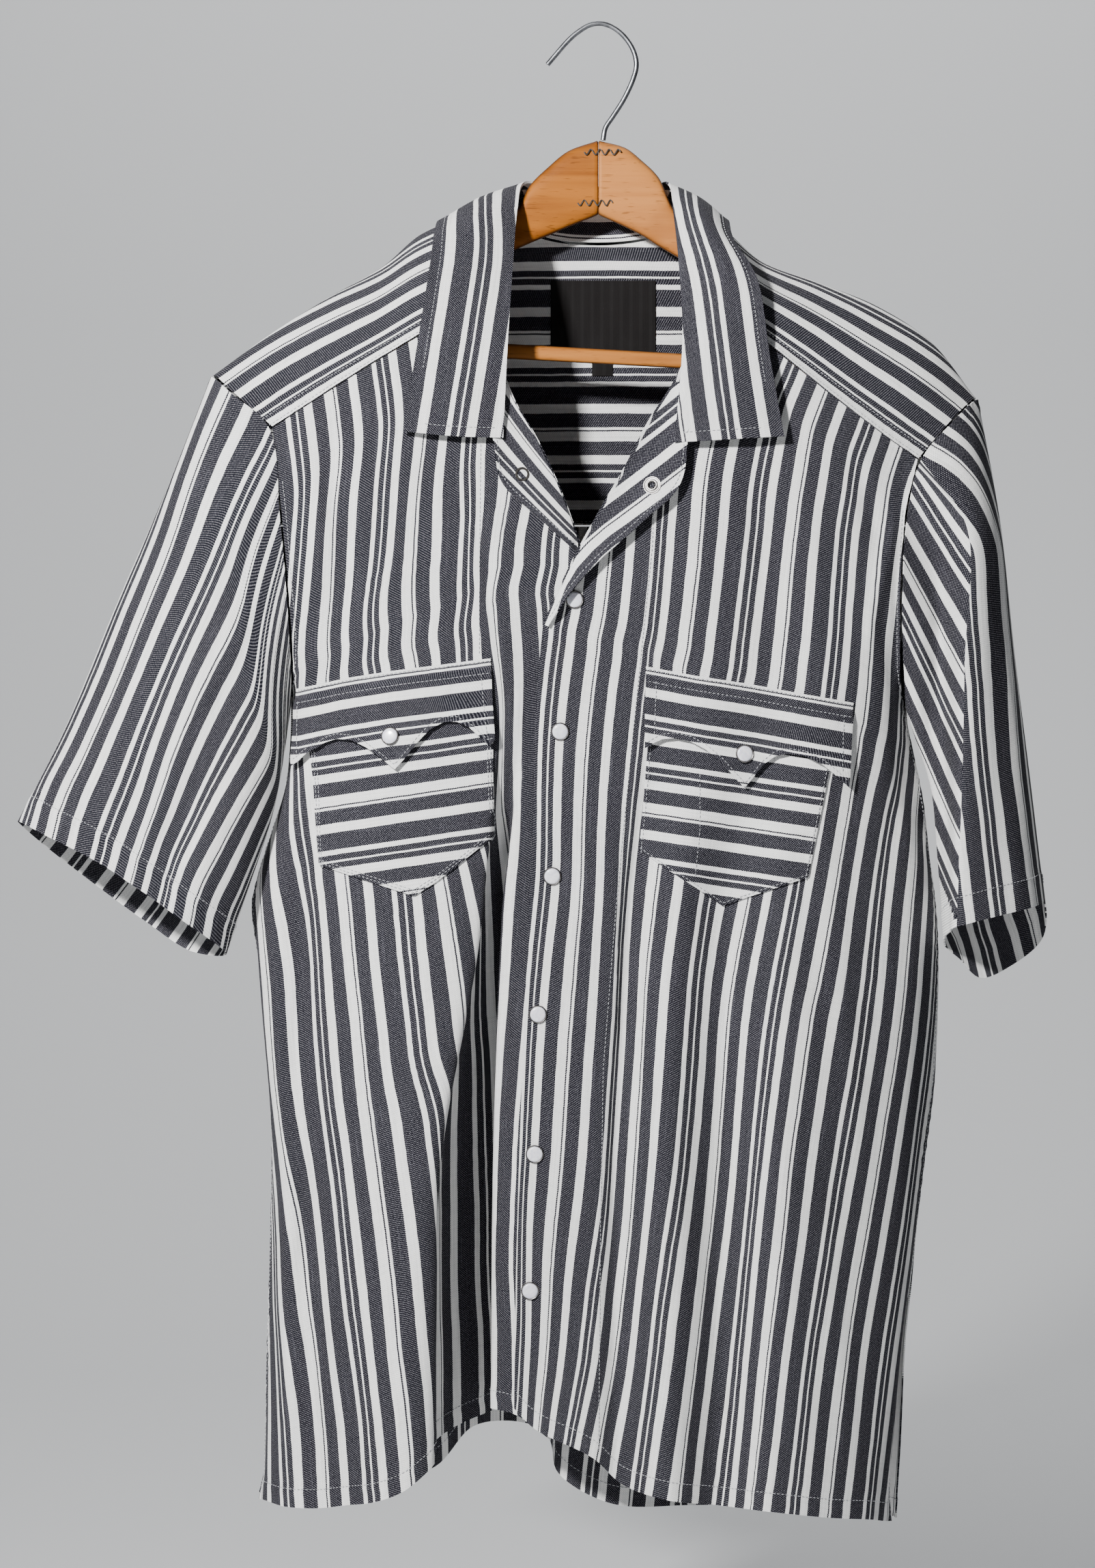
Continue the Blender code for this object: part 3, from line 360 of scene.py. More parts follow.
#            the white stripe along the right lapel
LAPEL_STRIPE = [(80, 261), (48.1, 285.5), (28.4, 300.5), (5.6, 317.2), (-4.5, 326), (-15.2, 338),
                (-22.4, 350.2), (-26.2, 361), (-30.5, 374), (-34, 390)]
#            around each ring: shoulder top, front four, underarm, back four
SLEEVE_LEFT = [
    [(-243.5, 219, -11), (-230, 230, -28), (-207.3, 251, -34), (-200.5, 308, -39.5),
     (-195.5, 370, -37.5), (-194.5, 428, -9), (-206, 372, 28), (-209.5, 314, 31),
     (-225.5, 263, 25), (-241.5, 229, 3)],
    [(-272, 291, -6), (-259, 300, -29), (-242, 316, -41), (-226, 352, -46),
     (-209, 407, -43), (-198, 455, -15), (-212, 402, 14), (-228, 347, 26),
     (-246, 309, 27), (-266, 296, 14)],
    [(-304, 364, -4), (-290, 371, -28), (-270, 385, -42), (-248, 411, -50),
     (-223, 449, -47), (-205, 492, -19), (-228, 454, 7), (-252, 414, 21),
     (-276, 384, 24), (-298, 369, 14)],
    [(-334, 437, -2), (-318, 444, -26), (-293, 457, -42), (-266, 478, -52),
     (-239, 508, -49), (-219, 536, -22), (-244, 516, 2), (-270, 485, 16),
     (-298, 462, 20), (-326, 442, 12)],
    [(-365, 499, 0), (-347, 508, -22), (-317, 523, -40), (-286, 544, -52),
     (-259, 563, -47), (-235, 582, -22), (-257, 580, -2), (-286, 561, 10),
     (-324, 533, 16), (-352, 511, 10)]]
SLEEVE_RIGHT = [
    [(238.5, 233, -9), (224, 246, -25), (203.3, 271, -31.5), (194.5, 308, -35.5),
     (191.5, 370, -35.5), (195.5, 432, -9), (205, 372, 28), (208, 316, 31),
     (224.5, 271, 25), (237, 241, 5)],
    [(253, 312, -4), (248, 308, -30), (232, 313, -45), (213, 337, -29),
     (203, 392, -30), (202, 452, -9), (212, 402, 20), (224, 347, 28),
     (238, 312, 26), (250, 308, 12)],
    [(262, 395, -2), (256, 392, -30), (231, 396, -49), (218, 410, -25),
     (211, 438, -19), (210, 478, -4), (217, 442, 16), (232, 410, 26),
     (248, 397, 26), (260, 395, 12)],
    [(272, 475, 0), (265, 474, -30), (229, 480, -52), (220, 488, -25),
     (216, 505, -15), (215, 530, -2), (223, 514, 14), (240, 494, 24),
     (256, 481, 24), (270, 476, 12)],
    [(281, 551, 0), (272, 553, -32), (226, 565, -52), (222, 568, -28),
     (219, 571, -14), (219, 577, -2), (228, 585, 7), (241, 597, 14),
     (259, 590, 18), (279, 573, 12)]]
#            x, top, bottom of the hanger's wood, from the joint out
ARM_LEFT = [(-0.6, 70, 117), (-18, 76, 124), (-32, 87, 130), (-43, 98, 134.5), (-52, 113.5, 138.5),
            (-82, 121, 151), (-96, 128, 157), (-111, 134, 164), (-136, 155, 178), (-171, 175, 197),
            (-196, 192, 211), (-203, 200, 209)]
ARM_RIGHT = [(0.6, 70, 117), (16, 74, 124), (28, 83, 130), (38, 93, 136.5), (49, 115, 143),
             (80, 131, 161), (102, 150, 174), (139, 165, 189), (174, 181, 207),
             (191, 193, 217), (199, 202, 214)]
HOOK = [(3, 69.6), (4.5, 62), (9, 55), (16, 44), (22, 31), (24, 22), (22, 13), (16, 4), (9, -1.5),
        (2, -3.8), (-5, -3), (-12, 1), (-18, 6), (-32, 22)]
FRONT_SNAPS = [(-15, 359), (-24, 442), (-29, 533), (-38, 620), (-40, 708), (-43, 794)]
FLAP_SNAPS = [("left", -131, 445), ("right", 92, 456)]

# where a stripe's middle is seen: its place in the weave, drops, x at those drops
FRONT_DROPS = (282, 325, 368, 411, 454, 540, 583, 626, 669, 712, 755, 798, 841, 884, 940)
RIGHT_TRACKS = [
    (EDGED, (368, 411, 454, 540, 583, 626, 669, 712, 755, 820, 841, 884),
     (-15, -21, -25, -27, -32, -36, -38.5, -41, -43.5, -44, -45, -47)),
    (EDGED + REPEAT, FRONT_DROPS, (48, 45, 41, 35, 30, 20, 17, 15.5, 13, 10, 7, 2, -3, -12, -22)),
    (LINED + 2 * REPEAT, FRONT_DROPS,
     (63, 60, 55, 49, 44, 33, 28.5, 26, 23, 20, 17, 12, 7, -2, -11)),
    (EDGED + 2 * REPEAT, FRONT_DROPS,
     (110, 106, 100, 95, 90, 79, 71, 67, 64, 60, 54, 48, 43, 37, 29)),
    (LINED + 3 * REPEAT, FRONT_DROPS,
     (125, 119, 115, 110, 105, 93, 84, 78, 75, 72, 68, 63, 58, 52, 45)),
    (EDGED + 3 * REPEAT, FRONT_DROPS,
     (167, 161, 158, 154, 147, 132, 124, 117, 111, 106, 101, 97, 93, 89, 83)),
    (LINED + 4 * REPEAT, FRONT_DROPS,
     (179, 173, 169, 166, 160, 146, 138, 129, 123, 117, 113, 108, 103, 99, 93)),
    (EDGED + 4 * REPEAT, (454, 540, 626, 669, 712, 755, 798, 841, 884, 940),
     (195, 183, 175, 168, 161, 153, 146, 139, 134, 128))]
LEFT_TRACKS = [
    (EDGED - 4 * REPEAT, (798, 841, 884, 940), (-201, -196, -191, -188)),
    (EDGED - 3 * REPEAT, (282, 325, 368, 389, 583, 626, 669, 712, 755, 798, 841, 884, 940),
     (-178, -181, -185, -187, -171, -168, -164, -158, -153, -148, -143, -138, -133)),
    (LINED - 2 * REPEAT, (282, 325, 368, 389, 540, 583, 626, 669, 712, 755, 798, 841, 884, 940),
     (-168, -171, -172, -174, -162, -158, -153, -149, -144, -138, -133, -129, -124, -120)),
    (EDGED - 2 * REPEAT, (282, 325, 368, 389, 540, 583, 626, 660),
     (-128, -131, -136, -135, -115, -111, -106, -103)),
    (LINED - REPEAT, (282, 325, 368, 389, 430), (-117, -120, -121, -120, -114)),
    (EDGED - REPEAT, (282, 325, 368, 389, 430), (-73, -76, -77, -77, -73))]
FLOOR_TRACKS = [      # the left front's cloth in the deep fold and under the snaps
    (BROAD, (390, 454, 500, 545, 583, 605, 648, 691, 734, 777, 820, 860),
     (-50, -51.5, -52.5, -55, -58, -59, -62, -64, -65, -66, -65.5, -66))]
SLEEVE_DROPS = (261, 282, 325, 368, 411, 454, 488, 506, 523, 560)
SLEEVE_LEFT_TRACKS = [
    (LINED, SLEEVE_DROPS, (-250, -258, -272, -289, -306, -325, -341, -346, -351, -360)),
    (EDGED, SLEEVE_DROPS[1:], (-211, -227, -246, -265, -281, -292, -299, -305, -314)),
    (LINED + REPEAT, (325, 368, 411, 454, 488, 506, 523, 560),
     (-211, -230, -252, -270, -281, -287, -293, -303)),
    (EDGED + REPEAT, (411, 454, 488, 506, 523, 560), (-201, -224, -243, -252, -261, -271)),
    (LINED + 2 * REPEAT, (454, 488, 506, 523, 541, 575), (-207, -227, -237, -246, -255, -263))]
SLEEVE_RIGHT_TRACKS = [
    (EDGED, (325, 368, 411, 454, 497, 540, 570), (239, 241, 244, 247, 252, 257, 261)),
    (LINED + REPEAT, (325, 368, 411, 454, 497, 540, 570), (253, 256, 260, 262, 267, 273, 277))]

# soft creases: x, drop, half length, half width, lean in degrees, height towards the viewer
LEFT_CREASES = [(-150, 330, 60, 9, -6, 1.6), (-112, 300, 70, 10, 8, -1.4), (-176, 300, 45, 7, -10, 1.8),
                (-92, 380, 40, 8, 4, 1.2), (-140, 620, 90, 13, 4, 1.6), (-118, 720, 120, 11, 5, -1.3),
                (-158, 790, 90, 12, 6, 1.7), (-186, 600, 40, 6, 3, -2.2), (-181, 690, 60, 5, -4, 2.0),
                (-186, 770, 50, 6, 4, -2.0), (-194, 850, 50, 7, 3, 1.8), (-140, 880, 40, 10, 6, 1.4)]
RIGHT_CREASES = [(60, 330, 60, 11, 6, 1.5), (104, 320, 80, 10, -4, -1.5), (136, 350, 60, 10, -5, 1.6),
                 (178, 345, 40, 5, 12, 2.4), (170, 300, 30, 6, -16, -2.0), (182, 390, 30, 5, -8, -1.6),
                 (20, 600, 90, 9, -3, -2.0), (36, 640, 110, 9, -4, 1.6), (96, 640, 130, 14, -6, 1.4),
                 (132, 560, 70, 10, -8, -1.6), (154, 620, 90, 9, -6, 1.8), (60, 800, 80, 12, -7, 1.3),
                 (110, 850, 60, 12, -6, -1.5), (-20, 690, 60, 6, 0, 0.8), (150, 830, 70, 9, -8, 1.5),
                 (186, 500, 40, 6, 8, -1.8)]
BACK_CREASES = [(-60, 420, 90, 16, 3, -2.5), (30, 480, 120, 18, -3, 2.4), (90, 400, 80, 15, 6, -2.2),
                (-130, 520, 110, 15, -3, 2.6), (-20, 650, 150, 20, 2, 2.4), (60, 720, 130, 18, -2, -2.4),
                (130, 700, 120, 16, -5, 2.4), (-100, 760, 110, 16, 3, -2.2), (150, 500, 60, 12, 8, -1.8)]
SLEEVE_LEFT_CREASES = [(-262, 500, 90, 15, 22, -4.5), (-228, 520, 80, 13, 18, 3.0),
                       (-300, 470, 80, 11, 24, 2.2),
                       (-262, 450, 70, 9, 26, 2.2), (-240, 420, 60, 8, 30, -2.0),
                       (-226, 480, 50, 8, 32, 1.8), (-292, 500, 45, 7, 22, -1.7),
                       (-318, 470, 60, 9, 22, 1.4), (-252, 540, 30, 7, 18, 1.8),
                       (-275, 545, 28, 6, 16, -1.6), (-225, 340, 50, 7, 20, -1.3),
                       (-300, 400, 80, 10, 24, -1.2), (-335, 500, 30, 6, 20, -1.0)]
SLEEVE_RIGHT_CREASES = [(214, 380, 40, 6, -34, 1.6), (212, 430, 34, 5, -30, -1.6),
                        (218, 500, 30, 5, -24, 1.4), (254, 420, 90, 7, -4, -1.2),
                        (262, 520, 40, 6, -5, 1.2), (244, 360, 50, 6, -4, 1.0)]

# top and lower edges of flaps and pockets: x, drop
FLAP_LEFT_TOP = [(-189, 415), (-161, 409), (-130, 404), (-99, 400), (-68, 396)]
FLAP_LEFT_FOOT = [(-189, 464), (-185, 461), (-179, 454), (-171, 449), (-162, 446.5), (-153, 447.5),
                  (-144, 452), (-135, 459), (-127, 466), (-121, 459), (-114, 449.5), (-106, 441),
                  (-97, 436), (-89, 436), (-81, 440), (-74, 446.5), (-69, 451), (-66, 447)]
FLAP_RIGHT_TOP = [(30, 401), (62, 407), (94, 412), (127, 418), (160, 424)]
FLAP_RIGHT_FOOT = [(28, 452), (34, 449), (41, 446.5), (49, 446), (58, 448), (67, 453), (76, 461),
                   (84, 470), (91, 477), (97, 471), (104, 463), (112, 457.5), (120, 456),
                   (130, 457.5), (140, 463), (148, 470), (155.5, 477)]
POCKET_LEFT_TOP = [(-181.5, 447), (-125, 440), (-66.5, 430)]
POCKET_LEFT_FOOT = [(-174.6, 526), (-160, 531), (-145, 536), (-130, 541), (-116, 545.5),
                    (-104, 538), (-92, 529), (-80, 519), (-67, 508)]
POCKET_RIGHT_TOP = [(32, 436), (88, 446), (147, 455)]
POCKET_RIGHT_FOOT = [(26, 516), (39, 525), (52, 534), (65, 543), (78, 551.5), (92, 547), (106, 542.5),
                     (119, 538), (132, 533.5)]
# the right sleeve's hollow: where stripes meet its ridge, their places in the weave, their slopes
HOLLOW_RIDGE = 24                      # column of the ridge
HOLLOW_DROPS = (245, 257.6, 277.6, 303.7, 327, 353.5, 380, 412.3, 436.4, 467, 560)
HOLLOW_PLACES = (37, 30, 20.05, 2.95, -11.55, -24.3, -39.45, -56.55, -71.05, -88, -142)
HOLLOW_SLOPES = (1.0, 1.05, 1.1, 1.2, 1.45, 1.6, 1.72, 1.9, 2.05, 2.2, 2.4)
# stitches down the fronts' plackets, as seen
PLACKET_RIGHT = [(36, 262), (34, 325), (22, 440), (12, 540), (3, 654), (1, 760), (0, 893)]
PLACKET_LEFT = [(-74, 262), (-74.5, 300), (-75, 340), (-75, 392)]


# ---------------------------------------------------------------- cloth
def arcs(grid, axis=1):
    """Length along the cloth from the first point, in millimetres."""
    step = np.linalg.norm(np.diff(grid, axis=axis), axis=2) * 1000
    zero = np.zeros_like(np.take(step, [0], axis))
    return np.concatenate([zero, np.cumsum(step, axis)], axis)


def normals_of(grid, facing, closed=False):
    """Directions off a grid, turned towards facing, or outwards on a tube."""
    across = (np.roll(grid, -1, 1) - np.roll(grid, 1, 1)) if closed else np.gradient(grid, axis=1)
    n = np.cross(across, np.gradient(grid, axis=0))
    n /= np.maximum(np.linalg.norm(n, axis=2, keepdims=True), 1e-12)
    if closed:
        return n * np.sign((n * (grid - grid.mean(1, keepdims=True))).sum(2).mean())
    return n * np.sign((n @ np.array(facing, float)).mean())


def eased(field, rows=4):
    """The field with its changes from row to row smoothed a little."""
    k = np.exp(-np.linspace(-1.6, 1.6, 2 * rows + 1) ** 2)
    k /= k.sum()
    padded = np.concatenate([2 * field[:1] - field[rows:0:-1], field,
                             2 * field[-1:] - field[-2:-rows - 2:-1]])
    return sum(w * padded[i:i + len(field)] for i, w in enumerate(k))


def met_on(grid, tracks, last):
    """Where each track meets the rows of a grid: its place in the weave, row and mm across."""
    x, drop = sight(grid)
    arc = arcs(grid)
    for s, drops, xs in tracks:
        off = x - table(drops, xs)(drop)
        for i in range(len(x)):
            hit = np.nonzero((off[i, :-1] < 0) & (off[i, 1:] >= 0))[0]
            if not len(hit):
                continue
            j = hit[-1] if last else hit[0]
            t = off[i, j] / (off[i, j] - off[i, j + 1])
            level = drop[i, j] + t * (drop[i, j + 1] - drop[i, j])
            step = arc[i, j + 1] - arc[i, j]
            if drops[0] - 2 <= level <= drops[-1] + 2 and x[i, j + 1] - x[i, j] > 0.35 * step:
                yield s, i, arc[i, j] + t * step


def charted(grid, tracks, from_right=(), led=False):
    """Place across the weave at each point, from where stripes are seen on the piece.

    Each track is a stripe's place in the weave and the x at which it is seen down the drops. The
    cloth keeps its own width between them, but for a slow correction that makes each one meet.
    Past its ends a track keeps its last correction, or is led by its neighbours.
    """
    arc, rows = arcs(grid), np.arange(len(grid))
    met = {}
    for marks, last in ((tracks, False), (from_right, True)):
        for s, i, mm in met_on(grid, marks, last):
            met.setdefault(s, []).append((i, mm))
    met = {s: np.array(sorted(v)) for s, v in met.items() if len(v) > 3}
    main = max(met, key=lambda s: len(met[s]))
    start = eased(np.interp(rows, *met[main].T)[:, None])[:, 0]
    plain = main + arc - start[:, None]
    order = np.array(sorted(met))
    gain = []
    for s in order:
        at = met[s][:, 0]
        past = np.nan if led and s not in (main, order[0], order[-1]) else None
        gain.append(np.interp(rows, at, s - main - met[s][:, 1] + start[at.astype(int)], past, past))
    gain = np.array(gain)
    for i in rows:
        known = np.isfinite(gain[:, i])
        gain[:, i] = np.interp(order, order[known], gain[known, i])
    places = order[:, None] - np.array([eased(g[:, None], 6)[:, 0] for g in gain])
    for k in range(1, len(order)):
        places[k] = np.maximum(places[k], places[k - 1] + 0.3 * (order[k] - order[k - 1]))
    gain = order[:, None] - places
    return plain + np.array([np.interp(plain[i], places[:, i], gain[:, i]) for i in rows])


def lapped(grid, mm):
    """The grid with one more row past its last, to lie over the next piece."""
    off = grid[-1] - grid[-2]
    off /= np.linalg.norm(off, axis=1, keepdims=True)
    return np.concatenate([grid, [grid[-1] + off * mm / 1000]])


def stepped(distance, at, soft=1.0):
    """1 on the near side of a line of stitches, 0 past it."""
    return 1 / (1 + np.exp((distance - at) / soft * 4))


def dented(distance, at, wide):
    """1 along a line, fading to both sides."""
    return np.exp(-((distance - at) / wide) ** 2)


def puckered(distance, along, at, pitch=7.0, high=0.25, wide=4.0):
    """Small uneven puckers beside a line of stitches."""
    wave = np.sin(2 * np.pi * along / pitch + 1.3 * np.sin(along / 11.0)) * (
        0.6 + 0.4 * np.sin(along / 23.0 + 1.0))
    return high * wave * dented(distance, at, wide)


def sides_of(field, closed=False):
    """A field's values at the two sides of each column of cells."""
    if closed:
        step = np.sign(field[:, -1:] - field[:, -2:-1]) * np.abs(np.diff(field)).mean(1)[:, None]
        field = np.concatenate([field, field[:, -1:] + step], 1)
    return np.stack([field[:, :-1], field[:, 1:]], 2)


def added(name, mesh):
    """An object for the mesh, in the scene."""
    o = bpy.data.objects.new(name, mesh)
    bpy.context.scene.collection.objects.link(o)
    return o


def settle(o, slot, *nodes):
    """The piece rides on the body and stands for its nodes."""
    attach(o, "root")
    if nodes:
        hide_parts(*nodes)


class Cloth:
    """A piece of cloth: its middle surface, the directions off it, and its place in the weave."""

    def __init__(self, grid, facing=(0, -1, 0), closed=False):
        self.grid, self.facing, self.closed = grid, facing, closed
        self.n = normals_of(grid, facing, closed)
        self.across = self.along = self.cells = None

    def over(self):
        """Millimetres across the cloth from its first column."""
        return arcs(self.grid)

    def fall(self):
        """Millimetres down the cloth from its top edge."""
        return arcs(self.grid, 0)

    def rise(self):
        """Millimetres up the cloth from its lower edge."""
        fall = self.fall()
        return fall[-1] - fall

    def rim(self):
        """Millimetres in from the nearest of its side and lower edges."""
        over = self.over()
        return np.minimum(self.rise(), np.minimum(over, over[:, -1:] - over))

    def push(self, mm):
        """Move the cloth off itself."""
        self.grid = self.grid + self.n * np.asarray(mm)[..., None] / 1000
        self.n = normals_of(self.grid, self.facing, self.closed)

    def crease(self, rows, fade=1.0):
        """Soft creases: ridges towards the viewer, troughs away from them."""
        x, drop = sight(self.grid)
        push = np.zeros(x.shape)
        for x0, d0, long, wide, lean, high in rows:
            c, s = math.cos(math.radians(lean)), math.sin(math.radians(lean))
            dx, dd = x - x0, drop - d0
            push += high * np.exp(-((dx * c + dd * s) / wide) ** 2 - ((dd * c - dx * s) / long) ** 2)
        toward = -self.n[..., 1:2] / np.maximum(np.abs(self.n[..., 1:2]), 0.35)
        self.grid = self.grid + self.n * toward * (push * fade)[..., None] / 1000
        self.n = normals_of(self.grid, self.facing, self.closed)

    def hemmed(self, at, step=0.35, *pucker):
        """Thickness and puckers of a hem sewn at this height."""
        return step * stepped(self.rise(), at) + puckered(self.rise(), self.over(), at, *pucker)

    def path(self, i, j, lift):
        """Places at fractional rows i and columns j, lifted off the cloth."""
        i, j = np.broadcast_arrays(np.asarray(i, float), np.asarray(j, float))
        rows, cols = self.grid.shape[:2]
        i = np.clip(i, 0, rows - 1.001)
        if not self.closed:
            j = np.clip(j, 0, cols - 1.001)
        a, b = np.floor(i).astype(int), np.floor(j).astype(int)
        u, v = (i - a)[:, None], (j - b)[:, None]
        b, c = b % cols, (b + 1) % cols
        on_cloth, off_cloth = ((f[a, b] * (1 - v) + f[a, c] * v) * (1 - u)
                               + (f[a + 1, b] * (1 - v) + f[a + 1, c] * v) * u
                               for f in (self.grid, self.n))
        return on_cloth + off_cloth * lift / 1000

    def stitch(self, mm, lift=STITCH_LIFT, cols=None):
        """Stitches along the cloth, mm down from its top edge, or up from its lower one if minus."""
        fall = self.fall()
        cols = np.arange(fall.shape[1]) if cols is None else cols
        down_it = fall if mm > 0 else fall - fall[-1]
        rows = [np.interp(mm, down_it[:, j], np.arange(len(fall))) for j in cols]
        STITCHES.append(self.path(rows, cols, lift))

    def side_stitch(self, mm, right, lift=STITCH_LIFT, rows=None):
        """Stitches down the cloth, mm in from its left or right side edge."""
        over = self.over()
        cols = np.arange(over.shape[1])
        rows = np.arange(len(over)) if rows is None else rows
        if right:
            over, cols = (over[:, -1:] - over)[:, ::-1], cols[::-1]
        STITCHES.append(self.path(rows, [np.interp(mm, over[k], cols) for k in rows], lift))

    def solid(self, name, thick=CLOTH, finish="cloth", slot="striped_cloth"):
        """Closed wall round the cloth, with its place in the weave as a UV map in metres."""
        g, n = self.grid, self.n * thick / 2000
        rows, cols = g.shape[:2]
        side = rows * cols
        verts = np.concatenate([(g + n).reshape(-1, 3), (g - n).reshape(-1, 3)])
        u, v = self.cells or (sides_of(self.across, self.closed), sides_of(self.along, self.closed))
        last = cols if self.closed else cols - 1
        i, j = (k.ravel() for k in np.meshgrid(np.arange(rows - 1), np.arange(last), indexing="ij"))
        jj = (j + 1) % cols
        a, b, c, d = i * cols + j, i * cols + jj, (i + 1) * cols + jj, (i + 1) * cols + j
        ring = np.stack([i, j, i * 0, i, j, i * 0 + 1, i + 1, j, i * 0 + 1, i + 1, j, i * 0], 1)
        turn = [9, 10, 11, 6, 7, 8, 3, 4, 5, 0, 1, 2]
        faces = [np.stack([a, b, c, d], 1), np.stack([d, c, b, a], 1) + side]
        places = [ring, ring[:, turn]]

        def wall(p, q, place, first):
            f = np.stack([p, q, side + q, side + p], 1)
            faces.append(f if first else f[:, ::-1])
            places.append(place if first else place[:, turn])

        for r, first in ((0, True), (rows - 1, False)):
            q = np.arange(last)
            o = q * 0
            wall(r * cols + (q + 1) % cols, r * cols + q,
                 np.stack([o + r, q, o + 1, o + r, q, o, o + r, q, o, o + r, q, o + 1], 1), first)
        for end, first in ((0, True), (cols - 1, False)) if not self.closed else ():
            q = np.arange(rows - 1)
            cell, o = q * 0 + min(end, cols - 2), q * 0 + (not first)
            wall(q * cols + end, (q + 1) * cols + end,
                 np.stack([q, cell, o, q + 1, cell, o, q + 1, cell, o, q, cell, o], 1), first)
        faces, places = np.concatenate(faces), np.concatenate(places).reshape(-1, 4, 3)
        p = verts[faces]
        if np.einsum("ij,ij->i", p[:, 0], np.cross(p[:, 1], p[:, 2])
                     + np.cross(p[:, 2], p[:, 3])).sum() < 0:
            faces, places = faces[:, ::-1], places[:, ::-1]
        mesh = bpy.data.meshes.new(name)
        mesh.from_pydata(verts.tolist(), [], faces.tolist())
        r, c, e = places.reshape(-1, 3).T
        flat = np.stack([u[r, c, e], v[r, c, e]], 1)
        mesh.uv_layers.new(name="weave").data.foreach_set("uv", (flat / 1000).astype(np.float32).ravel())
        mesh.polygons.foreach_set("use_smooth", np.ones(len(mesh.polygons), bool))
        mesh.set_sharp_from_angle(angle=math.radians(60))
        mesh.materials.append(finish_of(finish))
        mesh.update()
        o = added(name + "_cloth", mesh)
        settle(o, slot, name)
        if name in CUTS:
            SHEETS.append((o, name))


class Surface:
    """A piece of cloth as it is looked at, to lay others on it."""

    def __init__(self, cloth):
        grid = cloth.grid
        rows, cols = grid.shape[:2]
        i, j = (k.ravel() for k in np.meshgrid(np.arange(rows - 1), np.arange(cols - 1), indexing="ij"))
        f = np.stack([i * cols + j, i * cols + j + 1, (i + 1) * cols + j + 1, (i + 1) * cols + j], 1)
        self.tree = BVHTree.FromPolygons([Vector(p) for p in grid.reshape(-1, 3)], f.tolist())
        self.eye = Vector(seen(SEEN_X, SEEN_DROP, -SEEN_FROM + 1))

    def at(self, x, drop, lift=0.0):
        """The place seen there, lifted off the cloth, and the direction off it."""
        aim = (Vector(seen(x, drop, 0)) - self.eye).normalized()
        hit, n, _, _ = self.tree.ray_cast(self.eye, aim)
        if hit is None:
            raise RuntimeError(f"nothing to lay cloth on at {x:.1f}, {drop:.1f}")
        if n.dot(aim) > 0:
            n = -n
        return hit + n * lift / 1000, n

    def stitch(self, points, lift, step=2.0):
        """Stitches over the cloth through seen points."""
        p = np.array(points, float)
        d = np.concatenate([[0], np.cumsum(np.linalg.norm(np.diff(p, axis=0), axis=1))])
        t = np.linspace(0, d[-1], max(3, int(d[-1] / step)))
        x, drop = (np.interp(t, d, p[:, k]) for k in (0, 1))
        STITCHES.append([self.at(float(a), float(b), lift)[0] for a, b in zip(x, drop)])


def beside(x, drop, line):
    """How far points lie to the upper left of a line, and how far along it they are, in mm."""
    p = np.array(line, float)
    best, off, by, done = np.full(x.shape, 1e9), np.zeros(x.shape), np.zeros(x.shape), 0.0
    for a, b in zip(p[:-1], p[1:]):
        long = np.linalg.norm(b - a)
        way = (b - a) / long
        t = np.clip((x - a[0]) * way[0] + (drop - a[1]) * way[1], 0, long)
        dx, dy = x - a[0] - way[0] * t, drop - a[1] - way[1] * t
        far = np.hypot(dx, dy)
        near = far < best
        best = np.where(near, far, best)
        off = np.where(near, far * np.sign(dx * way[1] - dy * way[0]), off)
        by = np.where(near, done + t, by)
        done += long
    return off, by


def ruled(surface, top, foot, lift, cols, rows):
    """Piece laid on a panel between its top line and its foot line, each of (x, drop)."""
    def line(points):
        p = np.array(points, float)
        d = np.concatenate([[0], np.cumsum(np.abs(np.diff(p[:, 0])) + 0.2 * np.abs(np.diff(p[:, 1])))])
        t = np.linspace(0, d[-1], cols)
        return np.stack([np.interp(t, d, p[:, 0]), np.interp(t, d, p[:, 1])], 1)

    t = np.linspace(0, 1, rows)[:, None, None]
    flat = line(top)[None] * (1 - t) + line(foot)[None] * t
    lifts = lift(flat[..., 0], flat[..., 1]) if callable(lift) else np.full(flat.shape[:2], lift)
    hits = np.array([[list(surface.at(x, d)[0]) for x, d in r] for r in flat])
    n = normals_of(hits, (0, -1, 0))
    for _ in range(3):
        n[1:-1] = (n[:-2] + n[1:-1] * 2 + n[2:]) / 4
        n[:, 1:-1] = (n[:, :-2] + n[:, 1:-1] * 2 + n[:, 2:]) / 4
    n /= np.linalg.norm(n, axis=2, keepdims=True)
    return hits + n * lifts[..., None] / 1000


